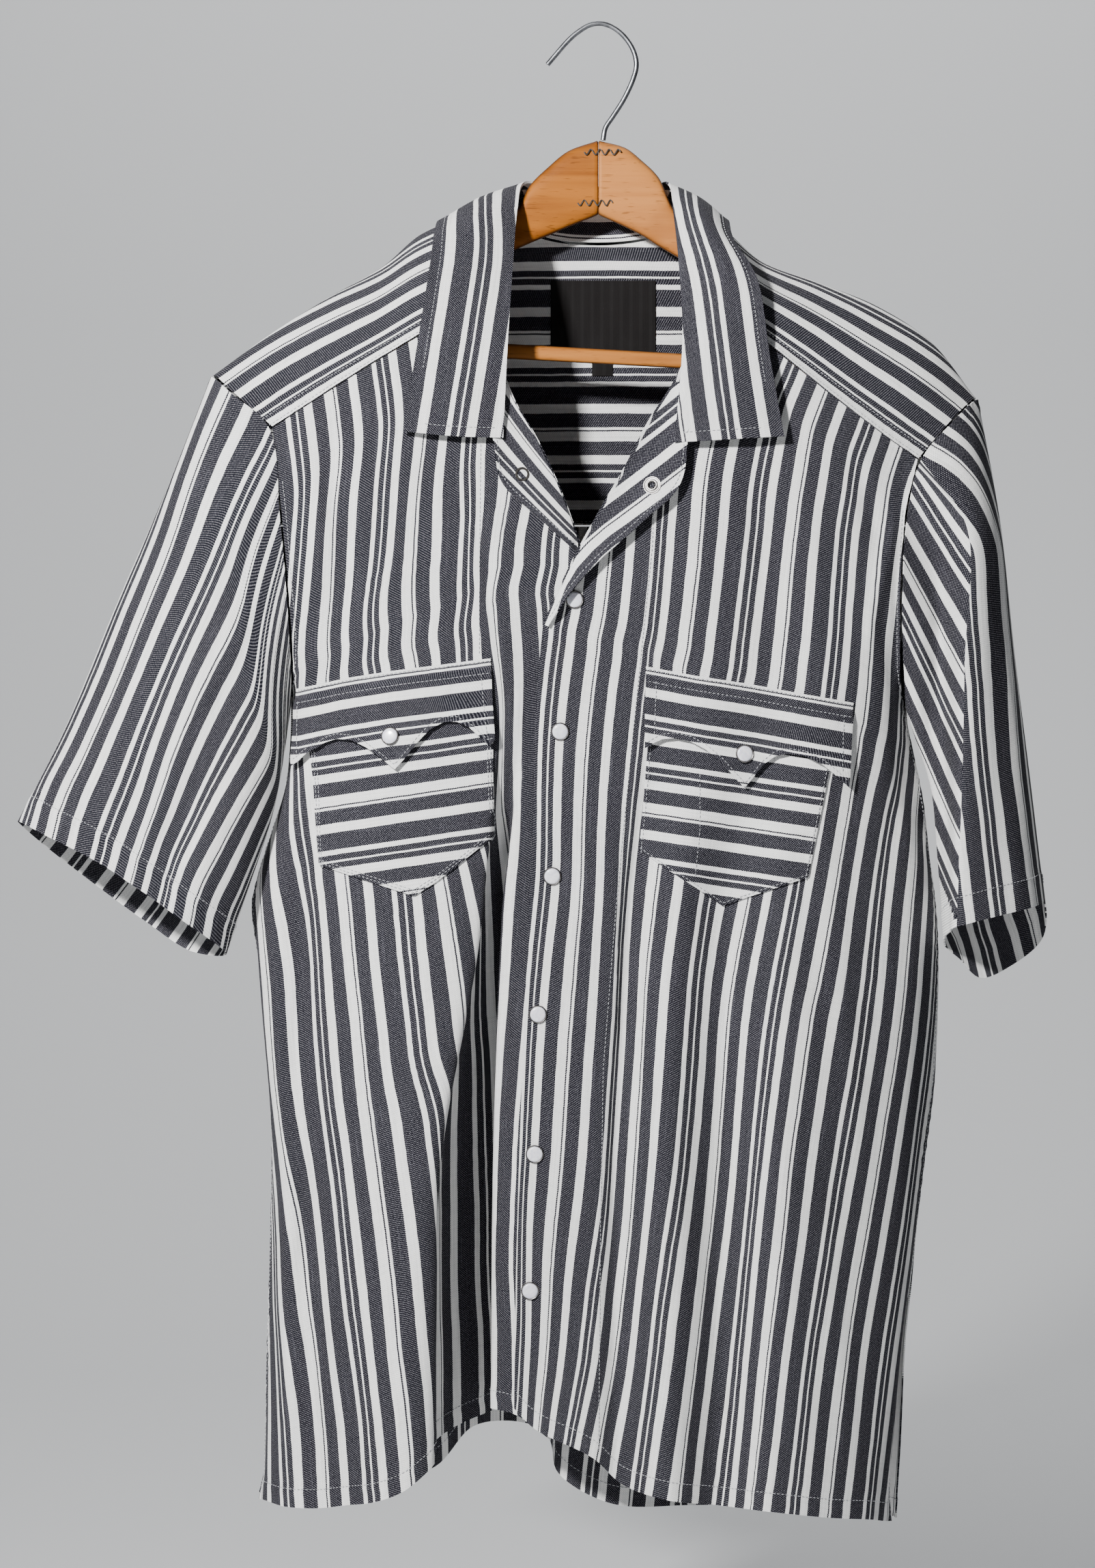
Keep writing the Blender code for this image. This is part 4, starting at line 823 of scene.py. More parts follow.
# ---------------------------------------------------------------- materials
class Nodes:
    """Small helper to build a material's nodes in order."""

    def __init__(self, name):
        self.material = bpy.data.materials.new(name)
        self.material.use_nodes = True
        self.tree = self.material.node_tree
        self.shader = self.tree.nodes["Principled BSDF"]

    def set(self, socket, value):
        if isinstance(value, bpy.types.NodeSocket):
            self.tree.links.new(value, socket)
        else:
            socket.default_value = value

    def add(self, kind, inputs, output=0, **settings):
        node = self.tree.nodes.new(kind)
        for k, v in settings.items():
            setattr(node, k, v)
        for name, value in inputs.items():
            self.set(node.inputs[name], value)
        return node.outputs[output]

    def math(self, operation, a, b=0.0, c=0.0):
        return self.add("ShaderNodeMath", {0: a, 1: b, 2: c}, operation=operation)

    def wave(self, value, length, shape="SINE"):
        return self.math(shape, self.math("MULTIPLY", value, 2 * math.pi / length))

    def mix(self, factor, a, b, blend="MIX"):
        return self.add("ShaderNodeMix", {0: factor, 6: a, 7: b}, 2, data_type="RGBA", blend_type=blend)

    def soft(self, value, low, high, a=0.0, b=1.0):
        return self.add("ShaderNodeMapRange", {0: value, 1: low, 2: high, 3: a, 4: b},
                        interpolation_type="SMOOTHSTEP")

    def axis(self, vector, k):
        return self.add("ShaderNodeSeparateXYZ", {0: vector}, k)

    def place(self):
        return self.add("ShaderNodeTexCoord", {}, "Object")

    def weave(self):
        return self.add("ShaderNodeUVMap", {}, uv_map="weave")

    def noise(self, vector, scale, detail=2.0, shift=(0, 0, 0), swirl=0.0):
        """Noise at one scale, or stretched by a scale for each axis."""
        if isinstance(scale, tuple):
            vector, scale = self.add("ShaderNodeMapping", {0: vector, 1: shift, 3: scale}), 1.0
        return self.add("ShaderNodeTexNoise", {"Vector": vector, "Scale": scale, "Detail": detail,
                                               "Distortion": swirl})

    def give(self, **inputs):
        for name, value in inputs.items():
            self.set(self.shader.inputs[name.replace("_", " ")], value)

    def bump(self, height, distance, strength=1.0):
        self.give(Normal=self.add("ShaderNodeBump", {"Height": height, "Distance": distance,
                                                     "Strength": strength}))


def toned(colour, k=1.0):
    """The colour k times as bright, for a node's socket."""
    return (*(c * k for c in colour), 1)


def striped_cloth(looks):
    """Woven stripe: dark warp with white weft showing as a fleck, white warp between."""
    m = Nodes("striped_cloth")
    uv = m.weave()
    u, v = (m.math("MULTIPLY", m.axis(uv, k), 1000.0) for k in (0, 1))
    step = m.math("MULTIPLY", m.wave(v, WEAVE), 0.11)
    u_line = m.math("ADD", m.math("ADD", u, step), m.math("MULTIPLY_ADD", m.noise(uv, 60.0), 0.8, -0.4))
    stripe = m.tree.nodes.new("ShaderNodeValToRGB")
    m.set(stripe.inputs[0], m.math("FRACT", m.math("DIVIDE", u_line, REPEAT)))
    ramp = stripe.color_ramp
    ramp.interpolation = "CONSTANT"
    ramp.elements.remove(ramp.elements[1])
    at = 0.0
    for kind, wide in STRIPES:
        stop = ramp.elements.new(at / REPEAT) if at else ramp.elements[0]
        stop.color = toned((1, 1, 1) if kind == "dark" else (0, 0, 0))
        at += wide
    lattice = m.math("MULTIPLY", m.wave(u, WEAVE, "COSINE"), m.wave(v, WEAVE, "COSINE"))
    speck = m.math("MULTIPLY_ADD", m.noise(uv, 900.0, 1.0), 1.2, -0.6)
    fleck = m.soft(m.math("ADD", lattice, speck), 0.38, 0.74)
    pin = m.soft(lattice, -0.55, -0.98)
    warp = m.noise(uv, (900.0, 26.0, 1.0))
    weft = m.noise(uv, (22.0, 700.0, 1.0))
    dark = m.mix(m.math("MULTIPLY", fleck, 0.40), toned(looks.dark_warp), toned(looks.white_weft))
    dark = m.mix(m.soft(warp, 0.58, 0.76, 0.0, 0.25), dark, (0.10, 0.10, 0.12, 1))
    white = m.mix(m.math("MULTIPLY", pin, 0.7), toned(looks.white_warp), (0.14, 0.15, 0.19, 1))
    white = m.mix(m.soft(weft, 0.55, 0.8, 0.0, 0.25), white, (0.66, 0.62, 0.54, 1))
    shade = m.math("ADD", m.math("MULTIPLY_ADD", warp, 0.5, 0.76),
                   m.math("MULTIPLY_ADD", weft, 0.3, -0.15))
    grey = m.add("ShaderNodeCombineColor", {0: shade, 1: shade, 2: shade})
    m.give(Base_Color=m.mix(1.0, m.mix(stripe.outputs[0], white, dark), grey, "MULTIPLY"),
           Roughness=0.86, Sheen_Weight=0.03, Sheen_Roughness=0.4, Specular_IOR_Level=0.1)
    yarns = m.math("ADD", m.math("MULTIPLY", warp, 0.8), m.math("MULTIPLY", weft, 0.8))
    m.bump(m.math("ADD", m.math("MULTIPLY", lattice, 0.5), yarns), 0.00016, 0.6)
    return m.material


def wood(name, pale, deep, grain_y=0.0):
    """Old varnished wood: long grain, fine flecks, and painted shade darkening the edges and faces
    turned away from the front.
    """
    m = Nodes(name)
    place = m.place()
    rings = m.noise(place, (6.0, 60.0, 95.0), 4.0, (0.3, grain_y, 0.1), 0.6)
    fleck = m.noise(place, (90.0, 700.0, 900.0))
    patch = m.noise(place, 22.0, 3.0)
    colour = m.mix(m.soft(rings, 0.3, 0.7), toned(pale), toned(deep))
    colour = m.mix(m.soft(fleck, 0.60, 0.72, 0.0, 0.55), colour, toned(deep, 0.38))
    colour = m.mix(m.soft(patch, 0.45, 0.75, 0.0, 0.45), colour, toned(deep, 0.72))
    # painted shade: faces turned away from front and back (tops, bottoms, rounded edges, the halves'
    # meeting ends) are darkened as if in shadow
    facing = m.axis(m.add("ShaderNodeNewGeometry", {}, "Normal"), 1)
    colour = m.mix(m.soft(m.math("ABSOLUTE", facing), 0.95, 0.35, 0.0, 0.8), colour, toned(deep, 0.28))
    m.give(Base_Color=colour, Roughness=m.math("MULTIPLY_ADD", fleck, 0.25, 0.42),
           Specular_IOR_Level=0.1, Coat_Weight=0.02, Coat_Roughness=0.35)
    m.bump(m.math("ADD", fleck, rings), 0.0002, 0.35)
    return m.material


def metal(name, colour, rough):
    """Worn bright metal with fine scratches."""
    m = Nodes(name)
    place = m.place()
    fine = m.noise(place, 2600.0, 3.0)
    tone = m.mix(m.soft(m.noise(place, 240.0, 3.0), 0.35, 0.7), toned(colour), toned(colour, 0.62))
    m.give(Base_Color=tone, Metallic=1.0, Roughness=m.math("MULTIPLY_ADD", fine, 0.3, rough))
    m.bump(fine, 0.00003, 0.4)
    return m.material


def pearl(looks):
    """White cap with a faint cloudy sheen under a clear gloss."""
    m = Nodes("pearl_cap")
    cloud = m.noise(m.place(), 260.0, swirl=1.5)
    tone = m.mix(m.soft(cloud, 0.35, 0.7), toned(looks.cap), (0.70, 0.70, 0.80, 1))
    m.give(Base_Color=tone, Roughness=m.math("MULTIPLY_ADD", cloud, 0.08, 0.26), Coat_Weight=0.5,
           Coat_Roughness=0.12, Subsurface_Weight=0.05, Subsurface_Scale=0.002)
    m.bump(cloud, 0.00002, 0.3)
    return m.material


def ribbon():
    """Black woven ribbon with fine ribs and a little lint."""
    m = Nodes("label_cloth")
    uv = m.weave()
    across, along = m.axis(uv, 0), m.axis(uv, 1)
    bands, lint = m.wave(across, 0.0062), m.noise(uv, 1500.0, 3.0)
    tone = m.mix(m.soft(bands, 0.0, 1.0, 0.0, 0.4), (0.007, 0.006, 0.006, 1), (0.014, 0.013, 0.013, 1))
    tone = m.mix(m.soft(lint, 0.68, 0.78, 0.0, 0.35), tone, (0.10, 0.10, 0.11, 1))
    m.give(Base_Color=tone, Roughness=0.75, Sheen_Weight=0.04, Specular_IOR_Level=0.15)
    m.bump(m.math("ADD", m.math("MULTIPLY", m.wave(along, 0.00045), 0.5),
                  m.math("MULTIPLY", m.wave(across, 0.0006), 0.3)), 0.0001, 0.6)
    return m.material


def sewing_thread(colour):
    """Twisted sewing thread."""
    m = Nodes("white_thread")
    ply = m.noise(m.place(), 2200.0)
    tone = m.mix(m.soft(ply, 0.3, 0.7), toned(colour), toned(colour, 0.7))
    m.give(Base_Color=tone, Roughness=0.7, Sheen_Weight=0.3)
    m.bump(ply, 0.00005, 0.5)
    return m.material


def finish_of(name):
    """The shirt's materials, made once."""
    if not FINISHES:
        looks = bpy.context.scene.shirt_finishes
        FINISHES.update(
            cloth=striped_cloth(looks), cap=pearl(looks), ribbon=ribbon(),
            # the snap rims' and lapel socket's silver metal is darkened as a painted dark reflection of
            # dark surroundings
            rim=metal("snap_metal", (0.20, 0.19, 0.185), 0.22),
            steel=metal("hook_steel", (0.30, 0.31, 0.33), 0.24),
            # steel darkened as painted shade, standing in for the shadow the fasteners lie in; the lapel
            # ring uses it too
            dull=metal("fastener_steel_painted_shade", (0.075, 0.07, 0.065), 0.45),
            thread=sewing_thread((0.44, 0.45, 0.48)),
            # one wood for both halves: the left copy is darker as painted shade and the right copy
            # lighter as painted light, for how each half faces the key
            left=wood("hanger_wood_left", (0.38, 0.128, 0.017), (0.23, 0.066, 0.007)),
            right=wood("hanger_wood_right", (0.52, 0.205, 0.052), (0.36, 0.125, 0.027), 0.4),
            bar=wood("hanger_wood_bar", (0.50, 0.20, 0.045), (0.34, 0.115, 0.02), 0.9))
    return FINISHES[name]


# ---------------------------------------------------------------- repeated small parts
def tree_of(name, inputs):
    """An empty node tree with named number inputs, its input node and its output node."""
    tree = bpy.data.node_groups.new(name, "GeometryNodeTree")
    tree.interface.new_socket("Geometry", in_out="INPUT", socket_type="NodeSocketGeometry")
    for label, value in inputs.items():
        s = tree.interface.new_socket(label, in_out="INPUT", socket_type="NodeSocketFloat")
        s.default_value = value
    tree.interface.new_socket("Geometry", in_out="OUTPUT", socket_type="NodeSocketGeometry")
    return tree, tree.nodes.new("NodeGroupInput"), tree.nodes.new("NodeGroupOutput")


def set_on_points(tree, out, material, axis, points, shape, way):
    """Shapes set on points with an axis turned along a way, made real and given a material."""
    n = tree.nodes.new
    place, turn = n("GeometryNodeInstanceOnPoints"), n("FunctionNodeAlignRotationToVector")
    real, paint = n("GeometryNodeRealizeInstances"), n("GeometryNodeSetMaterial")
    turn.axis = axis
    paint.inputs["Material"].default_value = material
    for a, b in ((points, place.inputs["Points"]), (shape, place.inputs["Instance"]),
                 (way, turn.inputs["Vector"]), (turn.outputs[0], place.inputs["Rotation"]),
                 (place.outputs[0], real.inputs[0]), (real.outputs[0], paint.inputs[0]),
                 (paint.outputs[0], out.inputs[0])):
        tree.links.new(a, b)
    return place


def stitch_tree(material, sizes):
    """Stitches laid along lines: a short rounded float of thread at each step."""
    tree, given, out = tree_of("stitches", sizes)
    n = tree.nodes.new
    curve, resample = n("GeometryNodeMeshToCurve"), n("GeometryNodeResampleCurve")
    resample.mode = "LENGTH"
    ball, smooth, shape = (n("GeometryNodeMeshUVSphere"), n("GeometryNodeSetShadeSmooth"),
                           n("GeometryNodeTransform"))
    for name, value in (("Segments", 6), ("Rings", 5), ("Radius", 0.5)):
        ball.inputs[name].default_value = value
    size = n("ShaderNodeCombineXYZ")
    for a, b in ((given.outputs["Geometry"], curve.inputs[0]),
                 (curve.outputs[0], resample.inputs["Curve"]),
                 (given.outputs["Pitch"], resample.inputs["Length"]),
                 (given.outputs["Length"], size.inputs[0]), (given.outputs["Thread"], size.inputs[1]),
                 (given.outputs["Thread"], size.inputs[2]), (ball.outputs[0], smooth.inputs[0]),
                 (smooth.outputs[0], shape.inputs[0]), (size.outputs[0], shape.inputs["Scale"])):
        tree.links.new(a, b)
    set_on_points(tree, out, material, "X", resample.outputs[0], shape.outputs[0],
                  n("GeometryNodeInputTangent").outputs[0])
    return tree


def snap_tree(material, form):
    """A turned part set on each point, facing along its direction."""
    tree, given, out = tree_of("snaps", {"Size": 1.0})
    source = tree.nodes.new("GeometryNodeObjectInfo")
    facing = tree.nodes.new("GeometryNodeInputNamedAttribute")
    source.inputs[0].default_value = form
    facing.data_type = "FLOAT_VECTOR"
    facing.inputs[0].default_value = "facing"
    place = set_on_points(tree, out, material, "Z", given.outputs["Geometry"],
                          source.outputs["Geometry"], facing.outputs[0])
    tree.links.new(given.outputs["Size"], place.inputs["Scale"])
    return tree


def made(name, mesh, tree, values):
    """The plain mesh that a tree makes of a mesh, as a piece."""
    o = added(name, mesh)
    build = o.modifiers.new("build", "NODES")
    build.node_group = tree
    for item in tree.interface.items_tree:
        if item.in_out == "INPUT" and item.name in values:
            build[item.identifier] = values[item.name]
    bpy.context.view_layer.update()
    mesh = bpy.data.meshes.new_from_object(o.evaluated_get(bpy.context.evaluated_depsgraph_get()))
    o.modifiers.remove(build)
    bpy.data.objects.remove(o)
    mesh.name = name
    return added(name, mesh)


def finished(name, bm, sharp, material=None):
    """The mesh built in bm, facing out, as an object."""
    bmesh.ops.recalc_face_normals(bm, faces=bm.faces)
    mesh = bpy.data.meshes.new(name)
    bm.to_mesh(mesh)
    bm.free()
    mesh.set_sharp_from_angle(angle=math.radians(sharp))
    if material:
        mesh.materials.append(material)
    return added(name, mesh)


def skinned(name, rings, joined=False, sharp=50, material=None):
    """Smooth solid through closed rings, with flat ends, or with its last ring joined to its first."""
    bm = bmesh.new()
    rows = [[bm.verts.new(p) for p in r] for r in rings]
    n = len(rows[0])
    for a, b in [*zip(rows, rows[1:])] + ([(rows[-1], rows[0])] if joined else []):
        for i in range(n):
            bm.faces.new([a[i], a[(i + 1) % n], b[(i + 1) % n], b[i]]).smooth = True
    if not joined:
        bm.faces.new(rows[0][::-1])
        bm.faces.new(rows[-1])
    return finished(name, bm, sharp, material)


def turned(name, profile, sides, ring):
    """Solid turned from (radius, height) rows in millimetres."""
    a = np.arange(sides) * 2 * math.pi / sides
    return skinned(name, [np.stack([r * np.cos(a), r * np.sin(a), a * 0 + h], 1) / 1000
                          for r, h in profile], ring, 42)


def round_section(x, drop, y, high, deep, ring, power=0.6):
    """Closed ring of a bar's rounded section round a seen point: half height and half depth."""
    a = np.arange(ring) * 2 * math.pi / ring
    c, s = np.cos(a), np.sin(a)
    return seen(x, drop - high * np.copysign(np.abs(s) ** power, s),
                y + deep * np.copysign(np.abs(c) ** power, c))


def set_on(name, places, profile, sides, ring, finish, slot, nodes):
    """A turned part set at each (place, direction off the cloth), as one piece."""
    form = turned(name + "_form", profile, sides, ring)
    mesh = bpy.data.meshes.new(name)
    mesh.from_pydata([tuple(p) for p, _ in places], [], [])
    facing = mesh.attributes.new("facing", "FLOAT_VECTOR", "POINT")
    facing.data.foreach_set("vector", np.array([list(n) for _, n in places]).ravel())
    o = made(name, mesh, snap_tree(finish_of(finish), form), {"Size": 1.0})
    bpy.data.objects.remove(form)
    settle(o, slot, *nodes)


# ---------------------------------------------------------------- sizes and finishes a user may change
class ShirtSizes(bpy.types.PropertyGroup):
    rows: bpy.props.IntProperty(name="Rows", description="Steps down a front", default=150, min=40)
    sub: bpy.props.IntProperty(name="Steps", description="Steps between fold lines", default=11, min=2)
    pitch: bpy.props.FloatProperty(name="Stitch pitch", description="From stitch to stitch",
                                   default=0.0027, unit="LENGTH")
    thread: bpy.props.FloatProperty(name="Thread", description="Thickness of the sewing thread",
                                    default=0.0005, unit="LENGTH")


class ShirtFinishes(bpy.types.PropertyGroup):
    dark_warp: bpy.props.FloatVectorProperty(name="Dark yarn", description="Dark warp yarn",
                                             subtype="COLOR", default=(0.008, 0.008, 0.013))
    white_weft: bpy.props.FloatVectorProperty(name="Fleck", description="Weft seen in dark stripes",
                                              subtype="COLOR", default=(0.54, 0.53, 0.58))
    white_warp: bpy.props.FloatVectorProperty(name="White yarn", description="White stripes",
                                              subtype="COLOR", default=(0.86, 0.86, 0.85))
    cap: bpy.props.FloatVectorProperty(name="Cap", description="Pearl of the snap caps",
                                       subtype="COLOR", default=(0.86, 0.86, 0.92))


# ---------------------------------------------------------------- the pieces
class SHIRT_OT_fronts(bpy.types.Operator):
    """Both fronts, hung in their folds, with their hems, plackets and side seams"""
    bl_idname, bl_label = "shirt.fronts", "Fronts"

    def execute(self, context):
        sizes = context.scene.shirt_sizes
        left = Cloth(panel(folds(LEVELS, LEFT_FOLDS, lambda x: YOKE_LEFT(x) + PIECE_GAP),
                           edge(down(LEFT_SIDE, PIECE_GAP)), edge(down(LEFT_EDGE, PIECE_GAP)),
                           sizes.rows, sizes.sub))
        right = Cloth(panel(folds(LEVELS, RIGHT_FOLDS, lambda x: YOKE_RIGHT(x) + PIECE_GAP),
                            edge(down(RIGHT_EDGE, PIECE_GAP)), edge(down(RIGHT_SIDE, PIECE_GAP)),
                            sizes.rows, sizes.sub))
        for cloth, rows in ((left, LEFT_CREASES), (right, RIGHT_CREASES)):
            x, drop = sight(cloth.grid)
            free = x < CREASED_LEFT if cloth is left else x > CREASED_RIGHT
            cloth.crease(rows, np.where(free, 1.0, 0.25) * np.clip((drop - 200) / 60, 0, 1))
            over = cloth.over()
            from_side = over if cloth is left else over[:, -1:] - over
            seam = puckered(from_side, cloth.fall(), EDGE_STITCH, 9.0, 0.5, 5.0)
            cloth.push(cloth.hemmed(HEM) + seam)
        left.across = charted(left.grid, LEFT_TRACKS, FLOOR_TRACKS, led=True)
        right.across = charted(right.grid, RIGHT_TRACKS)
        for name, cloth in (("front_left", left), ("front_right", right)):
            cloth.along = cloth.fall()
            cloth.solid(name)
            PIECES[name] = cloth
        left.stitch(-HEM)
        right.stitch(-HEM)
        rows = np.arange(8, sizes.rows)
        left.side_stitch(EDGE_STITCH, False, rows=rows)
        right.side_stitch(EDGE_STITCH, True, rows=rows)
        Surface(right).stitch(PLACKET_RIGHT, 0.8)
        Surface(left).stitch(PLACKET_LEFT, 0.8)
        return {"FINISHED"}


class SHIRT_OT_back(bpy.types.Operator):
    """The back panel and the back yoke"""
    bl_idname, bl_label = "shirt.back", "Back and yoke"

    def execute(self, context):
        back = Cloth(panel(folds(LEVELS, BACK_FOLDS, lambda x: BACK_TOP),
                           edge(LEFT_BACK), edge(RIGHT_BACK), 130, 9), (0, 1, 0))
        back.crease(BACK_CREASES)
        back.push(back.hemmed(HEM) + puckered(back.fall(), back.over(), 3.0, 8.0, 0.3))
        over = back.over()
        back.across = over - over[:, [over.shape[1] // 2]] + EDGED
        back.along = back.fall()
        back.solid("back")
        yoke = Cloth(netted(YOKE_BACK, 16, 7), (0, 1, 0))
        seam = yoke.rise()
        yoke.push(puckered(seam, yoke.over(), 3.0, 8.0, 0.35) - 0.4 * stepped(seam, 7.0))
        yoke.across = BROAD - REPEAT - YOKE_START + YOKE_STRETCH * yoke.rise()
        yoke.along = yoke.over()
        yoke.solid("yoke_back")
        PIECES["yoke"] = yoke
        for cloth, up in ((back, HEM), (yoke, 2.4)):
            for lift in (STITCH_LIFT, -STITCH_LIFT):
                cloth.stitch(-up, lift)
        return {"FINISHED"}


class SHIRT_OT_yoke_fronts(bpy.types.Operator):
    """The yoke's two front parts, over the shoulders"""
    bl_idname, bl_label = "shirt.yoke_fronts", "Front yokes"

    def execute(self, context):
        for side, net in (("left", YOKE_FRONT_LEFT), ("right", YOKE_FRONT_RIGHT)):
            cloth = Cloth(lapped(netted(net, 10, 16), 1.6))
            seam = cloth.rise()
            cloth.push(puckered(seam, cloth.over(), 3.0, 8.0, 0.3) + 0.35 * stepped(seam, 8.5, 1.6)
                       + 0.75 * stepped(seam, 2.0, 2.0))
            cloth.across = EDGED + 3.2 - cloth.rise()
            cloth.along = cloth.over()
            cloth.solid("yoke_front_" + side)
            cloth.stitch(-1.8)
            cloth.stitch(-8.0)
        return {"FINISHED"}


class SHIRT_OT_collar(bpy.types.Operator):
    """The camp collar, its inner band and the two lapels"""
    bl_idname, bl_label = "shirt.collar", "Collar and lapels"

    def execute(self, context):
        collar = Cloth(netted(COLLAR, 14, 12), (0, -0.5, 0.6))
        rim = collar.rim()
        collar.push(0.35 * dented(rim, 0.0, 3.0) - 0.3 * dented(rim, COLLAR_STITCH, 1.2)
                    + puckered(collar.rise(), collar.over(), COLLAR_STITCH, 8.0, 0.22))
        collar.across = STRIPES_FROM_EDGE + collar.rise() * COLLAR_STRETCH
        collar.along = collar.over()
        collar.solid("collar", FOLDED)
        rows, cols = (np.arange(n) for n in collar.grid.shape[:2])
        collar.stitch(-COLLAR_STITCH, 1.05, cols[8:-8])
        for right in (False, True):
            collar.side_stitch(COLLAR_STITCH, right, 1.05, rows[3:-6])
        band = Cloth(netted(STAND, 8, 12))
        band.across = band.fall() + 4.0
        band.along = band.over()
        band.solid("collar_stand")
        for side, roll, outer, curl in (("left", LAPEL_LEFT_ROLL, LAPEL_LEFT_OUTER, 4.6),
                                        ("right", LAPEL_RIGHT_ROLL, LAPEL_RIGHT_OUTER, 6.0)):
            surface = Surface(PIECES["front_" + side])
            lapel = Cloth(ruled(surface, through(roll, 8), through(outer, 8), LAPEL_LIFT, 60, 24))
            away = lapel.fall()
            tip = np.clip((1 - np.linspace(0, 1, away.shape[1])) / 0.06, 0.25, 1)
            lapel.push(curl * (away / away[-1:]) ** 1.1 * tip)
            x, drop = sight(lapel.grid)
            if side == "left":
                x, drop = x - LAPEL_LEFT_POINT[0], drop - LAPEL_LEFT_POINT[1]
                lapel.across = 29.3 + (x * 0.685 - drop * 0.729) * (1.12 + 0.012 * x)
                lapel.along = x * 0.729 + drop * 0.685
            else:
                off, by = beside(x, drop, LAPEL_STRIPE)
                inward = np.where(off > 0, 1.03 + 0.0045 * np.clip(by - 40, 0, 60), 1.0)
                lapel.across, lapel.along = LINED - off * inward, by
            lapel.solid("lapel_" + side)
            PIECES["lapel_" + side] = lapel
            lapel.stitch(-3.0, cols=np.arange(2, 58))
        return {"FINISHED"}


class SHIRT_OT_pockets(bpy.types.Operator):
    """Both patch pockets and their scalloped flaps"""
    bl_idname, bl_label = "shirt.pockets", "Pockets and flaps"

    def execute(self, context):
        for side, top, foot, x0, d0, lean, insets in (
                ("left", POCKET_LEFT_TOP, POCKET_LEFT_FOOT, -123, 479, -8.5, (1.8, 3.6)),
                ("right", POCKET_RIGHT_TOP, POCKET_RIGHT_FOOT, 80, 497, 8.5, (1.8,))):
            pocket = Cloth(ruled(Surface(PIECES["front_" + side]), top, foot, POCKET_LIFT, 70, 60))
            x, drop = sight(pocket.grid)
            c, s = math.cos(math.radians(lean)), math.sin(math.radians(lean))
            pocket.across = LINED + (drop - d0) * c - (x - x0) * s
            pocket.along = (x - x0) * c + (drop - d0) * s
            rim = pocket.rim()
            pocket.push(0.25 * stepped(rim, 3.0) - 0.55 * dented(rim, 0.0, 1.0)
                        + puckered(rim, pocket.over() + pocket.rise(), 2.5, 8.0, 0.15))
            pocket.solid("pocket_" + side)
            for inset in insets:
                pocket.stitch(-inset, 0.7, np.arange(1, 69))
                for right in (False, True):
                    pocket.side_stitch(inset, right, 0.7)
        Surface(pocket).stitch([(64, 470), (64, 503), (61, 532)], 0.7)
        for side, top, foot, lean in (("left", FLAP_LEFT_TOP, FLAP_LEFT_FOOT, -8.5),
                                      ("right", FLAP_RIGHT_TOP, FLAP_RIGHT_FOOT, 10.0)):
            def under(x, drop, line=np.array(top, float)):
                """Drop below the flap's top."""
                return drop - np.interp(x, *line.T)

            def lift(x, drop, under=under):
                """The flap stands off more towards its point."""
                below = under(x, drop)
                return (FLAP_LIFT * np.clip(below / 10, 0.45, 1)
                        + FLAP_CURL * np.clip((below - 16) / 28, 0, 1) ** 1.5)

            flap = Cloth(ruled(Surface(PIECES["front_" + side]), through(top, 6), foot, lift, 110, 46))
            below = under(*sight(flap.grid))
            flap.across = FLAP_START + below * math.cos(math.radians(lean))
            flap.along = flap.over()
            flap.push(-0.3 * dented(flap.rim(), 0.0, 0.9) - 0.3 * dented(below, FLAP_STITCH, 1.3)
                      + puckered(below, flap.over(), FLAP_STITCH, 7.0, 0.2))
            flap.solid("pocket_flap_" + side)
            PIECES["flap_" + side] = flap
            cols = np.arange(2, 108)
            flap.stitch(FLAP_STITCH, cols=cols)
            flap.stitch(1.5, cols=cols)
            for right in (False, True):
                flap.side_stitch(6.5, right, rows=np.arange(9, 40))
            flap.stitch(-3.0, cols=cols)
        return {"FINISHED"}


class SHIRT_OT_sleeves(bpy.types.Operator):
    """Both short sleeves, open at the hem"""
    bl_idname, bl_label = "shirt.sleeves", "Sleeves"

    def execute(self, context):
        for side, rings, rows, tracks in (
                ("left", SLEEVE_LEFT, SLEEVE_LEFT_CREASES, SLEEVE_LEFT_TRACKS),
                ("right", SLEEVE_RIGHT, SLEEVE_RIGHT_CREASES, SLEEVE_RIGHT_TRACKS)):
            cloth = Cloth(lofted(rings, 12, 18, True), closed=True)
            cloth.crease(rows, np.clip(-cloth.n[..., 1] * 1.5, 0, 1))
            cloth.push(cloth.hemmed(SLEEVE_HEM, 0.4, 8.0, 0.3)
                       + puckered(cloth.fall(), cloth.over(), 2.0, 9.0, 0.4, 5.0))
            self.weave(cloth, tracks, side)
            cloth.solid("sleeve_" + side)
            cloth.stitch(-SLEEVE_HEM, cols=np.append(np.arange(cloth.grid.shape[1]), 0))
        return {"FINISHED"}

    def weave(self, cloth, tracks, side):
        """Stripes as seen in front; behind they run on round the outer edge to the underarm seam."""
        seam = cloth.grid.shape[1] // 2
        over, fall = cloth.over(), cloth.fall()
        girth = over[:, -1:] + np.linalg.norm(cloth.grid[:, :1] - cloth.grid[:, -1:], axis=2) * 1000
        behind = girth - np.concatenate([over, girth], 1)[:, seam:]
        if side == "left":
            front = charted(cloth.grid[:, :seam + 1], tracks)
            behind = -behind
        else:
            front = charted(cloth.grid[:, seam::-1], (), tracks)[:, ::-1]
        u = np.concatenate([sides_of(front), sides_of(front[:, :1] + behind)], 1)
        v = sides_of(fall, True)
        v[:, -1, 1] = fall[:, 0]
        if side == "right":
            x, drop = sight(cloth.grid[:, HOLLOW_RIDGE:seam + 1])
            ridge_at = table(drop[:, 0], x[:, 0])
            meets = drop + 0
            for _ in range(8):
                slope = table(HOLLOW_DROPS, HOLLOW_SLOPES)(meets)
                meets = drop + slope * np.maximum(ridge_at(meets) - x, 0)
            u[:, HOLLOW_RIDGE:seam] = sides_of(table(HOLLOW_DROPS, HOLLOW_PLACES)(meets))
            v[:, HOLLOW_RIDGE:seam] = sides_of((x + 1.6 * drop) / 1.9)
        cloth.cells = u, v


